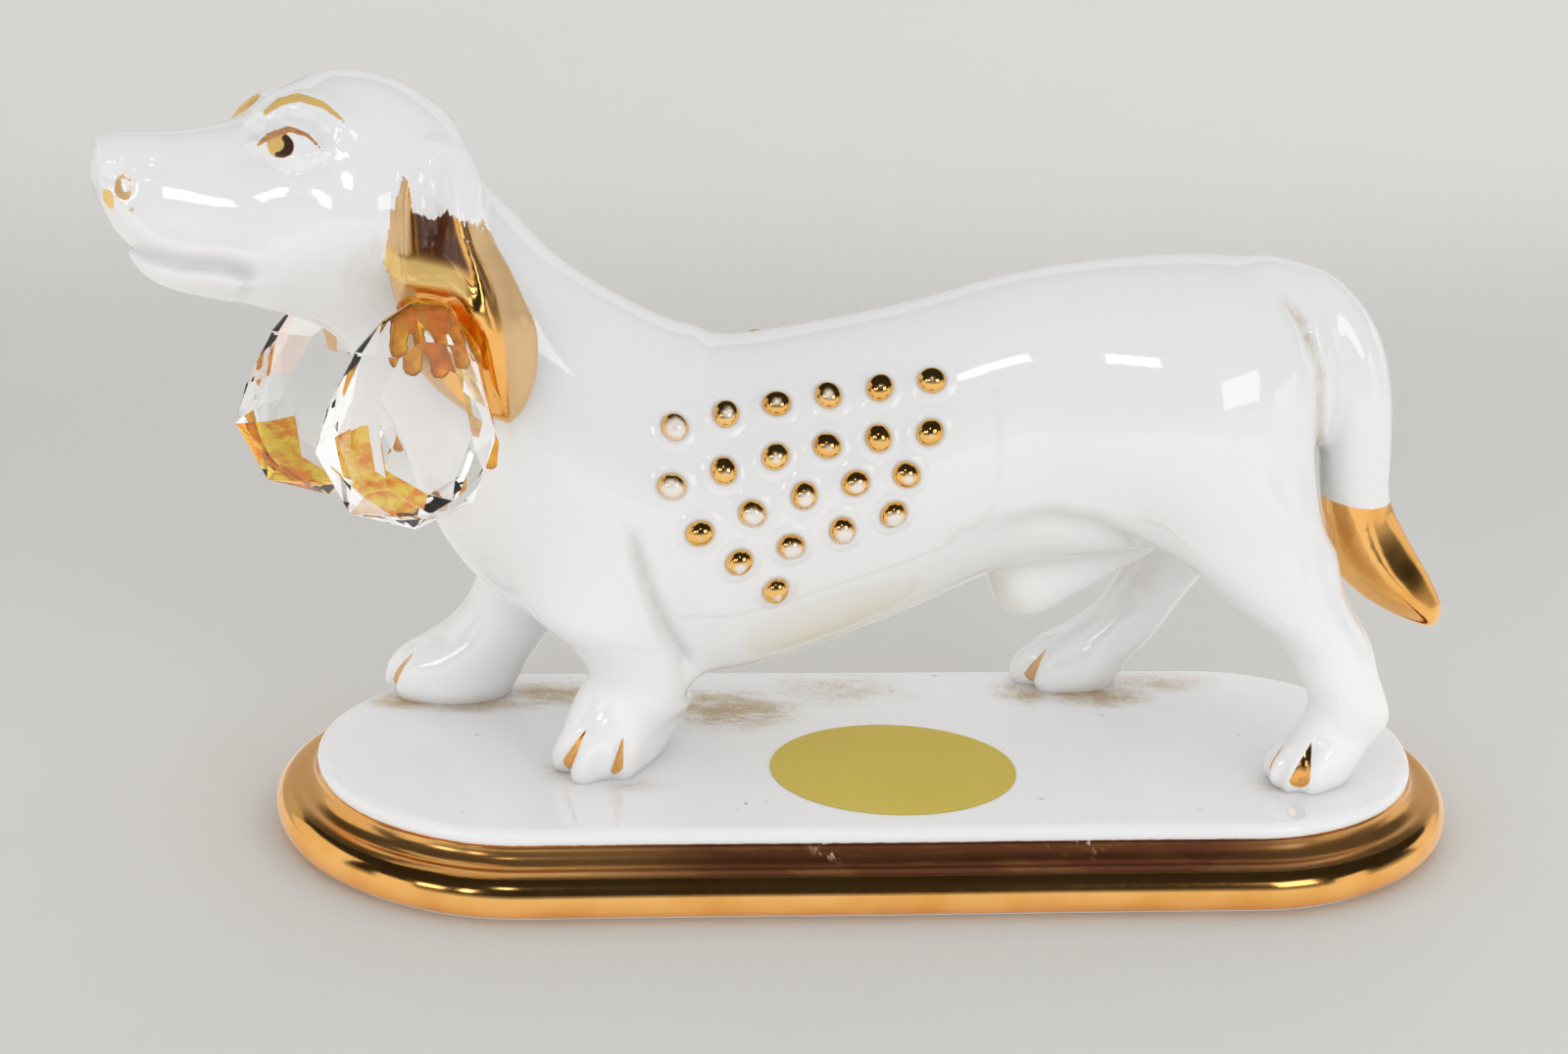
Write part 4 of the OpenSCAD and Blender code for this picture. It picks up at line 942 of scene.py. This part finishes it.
glass, w, coat = finish_material("cut_crystal")
p = w.place()
film = p.grain(6.0, 4.0, 0.6).rise(0.5, 0.8)
clear = film.between((1.0, 1.0, 1.0), (0.975, 0.97, 0.96))
blotch = p.stretched(1, 1, 1.8).grain(4.0, 4.0, 0.7).rise(0.38, 0.6)
amber_tone = blotch.between((0.97, 0.50, 0.006), (0.80, 0.075, 0.0004))
coat(
    Base_Color=w.attribute("amber").between(clear, amber_tone),
    Roughness=film * 0.02,
    IOR=1.48,
    Transmission_Weight=1.0,
)
clear_where(glass, w.node("LightPath", {}, {}, "Is Shadow Ray"))
crystal_planes, crystal_middle = {}, {}
for side, name in side_names:
    low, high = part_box(name + "_crystal")
    middle = (np.array(low) + np.array(high)) / 2 / MM
    crystal_middle[side] = middle
    cut = bmesh.new()
    for face_side in (-1, 1):
        for x, z in girdle:
            cut.verts.new((x, 0.35 * face_side, z))
        for x, z, deep in middle_row:
            cut.verts.new((x, face_side * deep * crystal_half_depth, z))
        for x, z in table:
            cut.verts.new((x, face_side * crystal_half_depth, z))
    bmesh.ops.convex_hull(cut, input=cut.verts)
    bmesh.ops.delete(cut, geom=[v for v in cut.verts if not v.link_faces], context="VERTS")
    bmesh.ops.dissolve_limit(cut, angle_limit=math.radians(0.8), verts=cut.verts, edges=cut.edges)
    cut.verts.index_update()
    verts = np.array([v.co[:] for v in cut.verts]) + middle
    faces = [[v.index for v in f.verts] for f in cut.faces]
    # The plane of each facet, and an amber tint painted on it in place of the glue seen through the glass behind, most
    # on the low ones on the ear's side.
    crystal_planes[side], painted_amber = [], []
    for f in cut.faces:
        normal, c = np.array(f.normal), f.calc_center_median()
        crystal_planes[side].append((normal, normal @ (np.array(f.verts[0].co) + middle)))
        ear_side = c.y * side < 1.0
        low_left = c.z < -2.5 and c.x < 4.5 - 0.4 * (c.z + 12) and abs(c.y) < 5.2
        high_left = c.x < -3 and c.z > 2
        painted_amber.append(1.0 if ear_side and low_left else 0.35 if ear_side and high_left else 0.0)
    cut.free()
    crystal = mesh_piece(name + "_crystal_drop", verts, faces, glass, smooth=False)
    crystal.data.attributes.new("amber", "FLOAT", "FACE").data.foreach_set("value", painted_amber)
    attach(crystal, "root")
    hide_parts(name + "_crystal")

# Glue
# Amber adhesive squeezed out between each ear and its crystal. It set in rounded fingers behind the top of the drop
# and ran down one edge of it.

glue_pitch = 0.25
amber, w, coat = finish_material("amber_adhesive")
p = w.place()
deep = p.grain(3.0, 3.0).rise(0.35, 0.7)
coat(
    Base_Color=deep.between((0.96, 0.52, 0.03), (0.55, 0.15, 0.006)),
    Roughness=0.03 + 0.06 * p.grain(1.5),
    IOR=1.5,
    Transmission_Weight=0.85,
)
# Each run of glue: its two ends from the crystal's middle along x and z, how far out of the ear, and its two radii.
wide_runs = [((3.0, 11.5), (7.0, 8.0), 0.6, 3.0, 2.6)]
fingers = [((0.5, 13.5), (0.8, 6.5), 0.0, 1.9, 1.5), ((3.6, 13.0), (4.4, 6.0), 0.0, 1.8, 1.4),
           ((6.8, 10.0), (8.2, 4.5), 0.0, 1.7, 1.3)]
edge_runs = [((8.6, 8.0), (11.7, -4.5), 3.2, 1.2, 0.75), ((11.7, -4.5), (11.5, -7.0), 3.6, 0.75, 0.95)]
for side, name in side_names:
    cx, cy, cz = crystal_middle[side] - dog_stand
    back_y = cy - side * 4.4
    corner = np.array([cx - 5, cy - 9, cz - 12])
    axes = [a + glue_pitch * np.arange(int(size / glue_pitch)) for a, size in zip(corner, (24, 18, 32))]
    x, y, z = axes[0][:, None, None], axes[1][None, :, None], axes[2][None, None, :]
    field = np.full([len(a) for a in axes], 9.0)
    for start, end, out, first_radius, last_radius in wide_runs + (fingers if side < 0 else []) + edge_runs:
        gap, along = line_gap(x - cx, z - cz, [start, end])
        radius = first_radius + (last_radius - first_radius) * along
        gap = np.sqrt(gap ** 2 + (1.15 * (y - back_y - side * out)) ** 2) - radius
        field = fillet(gap, field, 0.8)
    points = np.stack(np.broadcast_arrays(x, y, z), -1).reshape(-1, 3)
    ear_away = read(dog_field, points)[0].reshape(field.shape)
    glass_away = np.max([(points + dog_stand) @ n - d for n, d in crystal_planes[side]], axis=0)
    field = np.maximum(np.maximum(field, 0.05 - ear_away), -0.45 - glass_away.reshape(field.shape))
    points, faces = skin_of(field, corner, glue_pitch)
    glue = mesh_piece(name + "_amber_glue", points + dog_stand, faces, amber)
    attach(glue, "root")
    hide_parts(name + "_glue")

# Label
# A thin oval of gold foil paper, punched from a sheet and stuck flat on the plate.
# It is bare, and its surface is lightly scuffed.

label_middle = (2.2, -8.0)
label_half = (17.8, 15.0)
foil, w, coat = finish_material("gold_foil")
p = w.place()
scuff = p.stretched(1, 3, 1).grain(0.7, 3.0, 0.7).rise(0.66, 0.74) * p.grain(7.0).rise(0.5, 0.65)
tone = p.grain(12.0, 2.0).between((0.71, 0.55, 0.085), (0.63, 0.48, 0.065))
coat(Base_Color=(0.5 * scuff).between(tone, (0.72, 0.70, 0.60)), Metallic=0.25, Roughness=0.42 + 0.2 * scuff)
label_turns = np.linspace(0, 2 * math.pi, 97)[:-1]
# Rings from the middle out and down over the edge: share of the half sizes, and height over the plate.
label_rings = [(0.35, 0.15), (0.7, 0.15), (0.9, 0.155), (0.985, 0.17), (1.0, 0.15), (1.0, 0.02)]
verts = []
for share, lift in label_rings:
    for t in label_turns:
        curl = max(0, 0.05 * share ** 6 * math.sin(3 * t + 0.7)) * (lift > 0.1)
        verts.append((label_middle[0] + share * label_half[0] * math.cos(t),
                      label_middle[1] + share * label_half[1] * math.sin(t), plinth_top + 0.06 + lift + curl))
m = len(label_turns)
faces = ring_faces(len(label_rings), m)
faces.append(range(m))
faces.append(range(len(verts) - 1, len(verts) - 1 - m, -1))
label = mesh_piece("foil_label", verts, faces, foil, crease=40)
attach(label, "root")
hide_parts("label")

# Floor
# A plain sheet of pale paper under the figurine, swept up behind it. It is dimmer in reflections,
# and can be seen through from behind.

paper, w, coat = finish_material("pale_paper")
p = w.place()
depth = p.node("SeparateXYZ", {}, {0: p}, 1)
sheet = p.grain(60.0, 3.0).between((0.61, 0.597, 0.57), (0.635, 0.625, 0.60))
seen = p.node("LightPath", {}, {}, "Is Camera Ray")
shiny = p.node("LightPath", {}, {}, "Is Glossy Ray") * depth.rise(60.0, 200.0)
unseen = shiny.between((0.93, 0.915, 0.885), (0.52, 0.51, 0.49))
# Painted light on the paper: darker over the floor behind the figurine, and lighter again where it sweeps up.
sheet = depth.rise(0.0, 180.0).between(sheet, (0.55, 0.54, 0.52))
sheet = depth.rise(200.0, 330.0).between(sheet, (0.64, 0.63, 0.615))
coat(Base_Color=seen.between(unseen, sheet), Roughness=0.9)
clear_where(paper, w.node("NewGeometry", {}, {}, "Backfacing"))
sweep = [(-1600, 0), (260, 0), (330, 4), (400, 18), (460, 45), (510, 90), (545, 150), (570, 230), (590, 320),
         (600, 430)]
floor = mesh_piece("floor", [(sx, sy, sz) for sy, sz in sweep for sx in (-2200, 2200)],
                   [(2 * i, 2 * i + 1, 2 * i + 3, 2 * i + 2) for i in range(len(sweep) - 1)], paper)

# Light
# Two soft boxes and two small strips in front, two fills that don't mirror, and four white cards round the figurine.
# The room is evenly pale, but what mirrors of it is darker the higher it is.


def soft_box(name, place, size, watts, aim=(0, 0, 0.05)):
    lamp = bpy.data.lights.new(name, "AREA")
    lamp.shape, lamp.size, lamp.size_y, lamp.energy = "RECTANGLE", *size, watts
    stand = bpy.data.objects.new(name, lamp)
    stand.location = place
    stand.rotation_mode = "QUATERNION"
    stand.rotation_quaternion = (Vector(aim) - Vector(place)).to_track_quat("-Z", "Y")
    stand.visible_camera = False
    bpy.context.collection.objects.link(stand)


soft_box("left_box", (-0.84, -0.84, 0.52), (0.22, 0.26), 0.6)
soft_box("right_box", (0.66, -1.03, 0.58), (0.48, 0.46), 1.5)
soft_box("upper_strip", (-0.15, -1.00, 1.15), (0.14, 0.16), 0.32)
soft_box("left_strip", (-0.63, -1.21, 0.71), (0.14, 0.34), 0.55)
soft_box("front_fill", (0.1, -1.5, 0.20), (2.2, 0.3), 1.0)
soft_box("back_fill", (0.25, 0.46, 0.42), (0.6, 0.3), 0.4)
for name in ("front_fill", "back_fill"):
    bpy.data.objects[name].visible_glossy = False
    bpy.data.objects[name].visible_transmission = False
white_card, w, coat = finish_material("white_card")
coat(Base_Color=w.place().grain(80.0, 2.0).between((0.88, 0.87, 0.84), (0.91, 0.90, 0.87)), Roughness=0.9)
for name, x, low, high, tall in (("left_card", -620, -60, 560, 500), ("right_card", 620, 90, 560, 260),
                                 ("left_front_card", -560, -480, -230, 260),
                                 ("right_front_card", 560, -480, -230, 260)):
    corners = [(x, low, 0), (x, high, 0), (1.15 * x, high, tall), (1.15 * x, low, tall)]
    card = mesh_piece(name, corners, [(0, 1, 2, 3)], white_card)
    card.visible_camera = False

world = bpy.data.worlds.new("room")
bpy.context.scene.world = world
world.use_nodes = True
room = Wire(world.node_tree)
mirrored = room.node("LightPath", {}, {}, "Is Glossy Ray")
through = room.node("LightPath", {}, {}, "Transmission Depth").rise(0.2, 0.8)
sky = world.node_tree.nodes["Background"]
sky.inputs["Color"].default_value = (1.0, 1.0, 1.0, 1)
above = room.node("SeparateXYZ", {}, {0: room.node("TexCoord", {}, {}, 0)}, 2).most(0.0)
dim = 0.02 + 0.55 * (1 - above.rise(-0.02, 0.3))
world.node_tree.links.new((mirrored * (1 - through)).blend(1.0 - 0.08 * above, dim).socket, sky.inputs["Strength"])
bpy.context.scene.view_settings.view_transform = "Standard"

# Camera
# A long lens a little above the figurine, turned slightly to its left and rolled by a few degrees.
# Its focal length is in pixels of a picture of the photo's width.

photo_width, focal_length = 1600, 4304
aim = Vector((-0.01437, 0, 0.04614))
distance = 0.6
turn, height, roll = math.radians(-8), math.radians(22), math.radians(3)
back = Vector((math.sin(turn) * math.cos(height), -math.cos(turn) * math.cos(height), math.sin(height)))
right = Vector((math.cos(turn), math.sin(turn), 0))
up = back.cross(right)
level_x = math.cos(roll) * right + math.sin(roll) * up
level_y = math.cos(roll) * up - math.sin(roll) * right
lens = bpy.data.cameras.new("camera")
lens.sensor_width, lens.lens = 36, focal_length * 36 / photo_width
camera = bpy.data.objects.new("camera", lens)
turned = Matrix((level_x, level_y, back)).transposed().to_4x4()
camera.matrix_world = Matrix.Translation(aim + back * distance) @ turned
bpy.context.collection.objects.link(camera)
bpy.context.scene.camera = camera
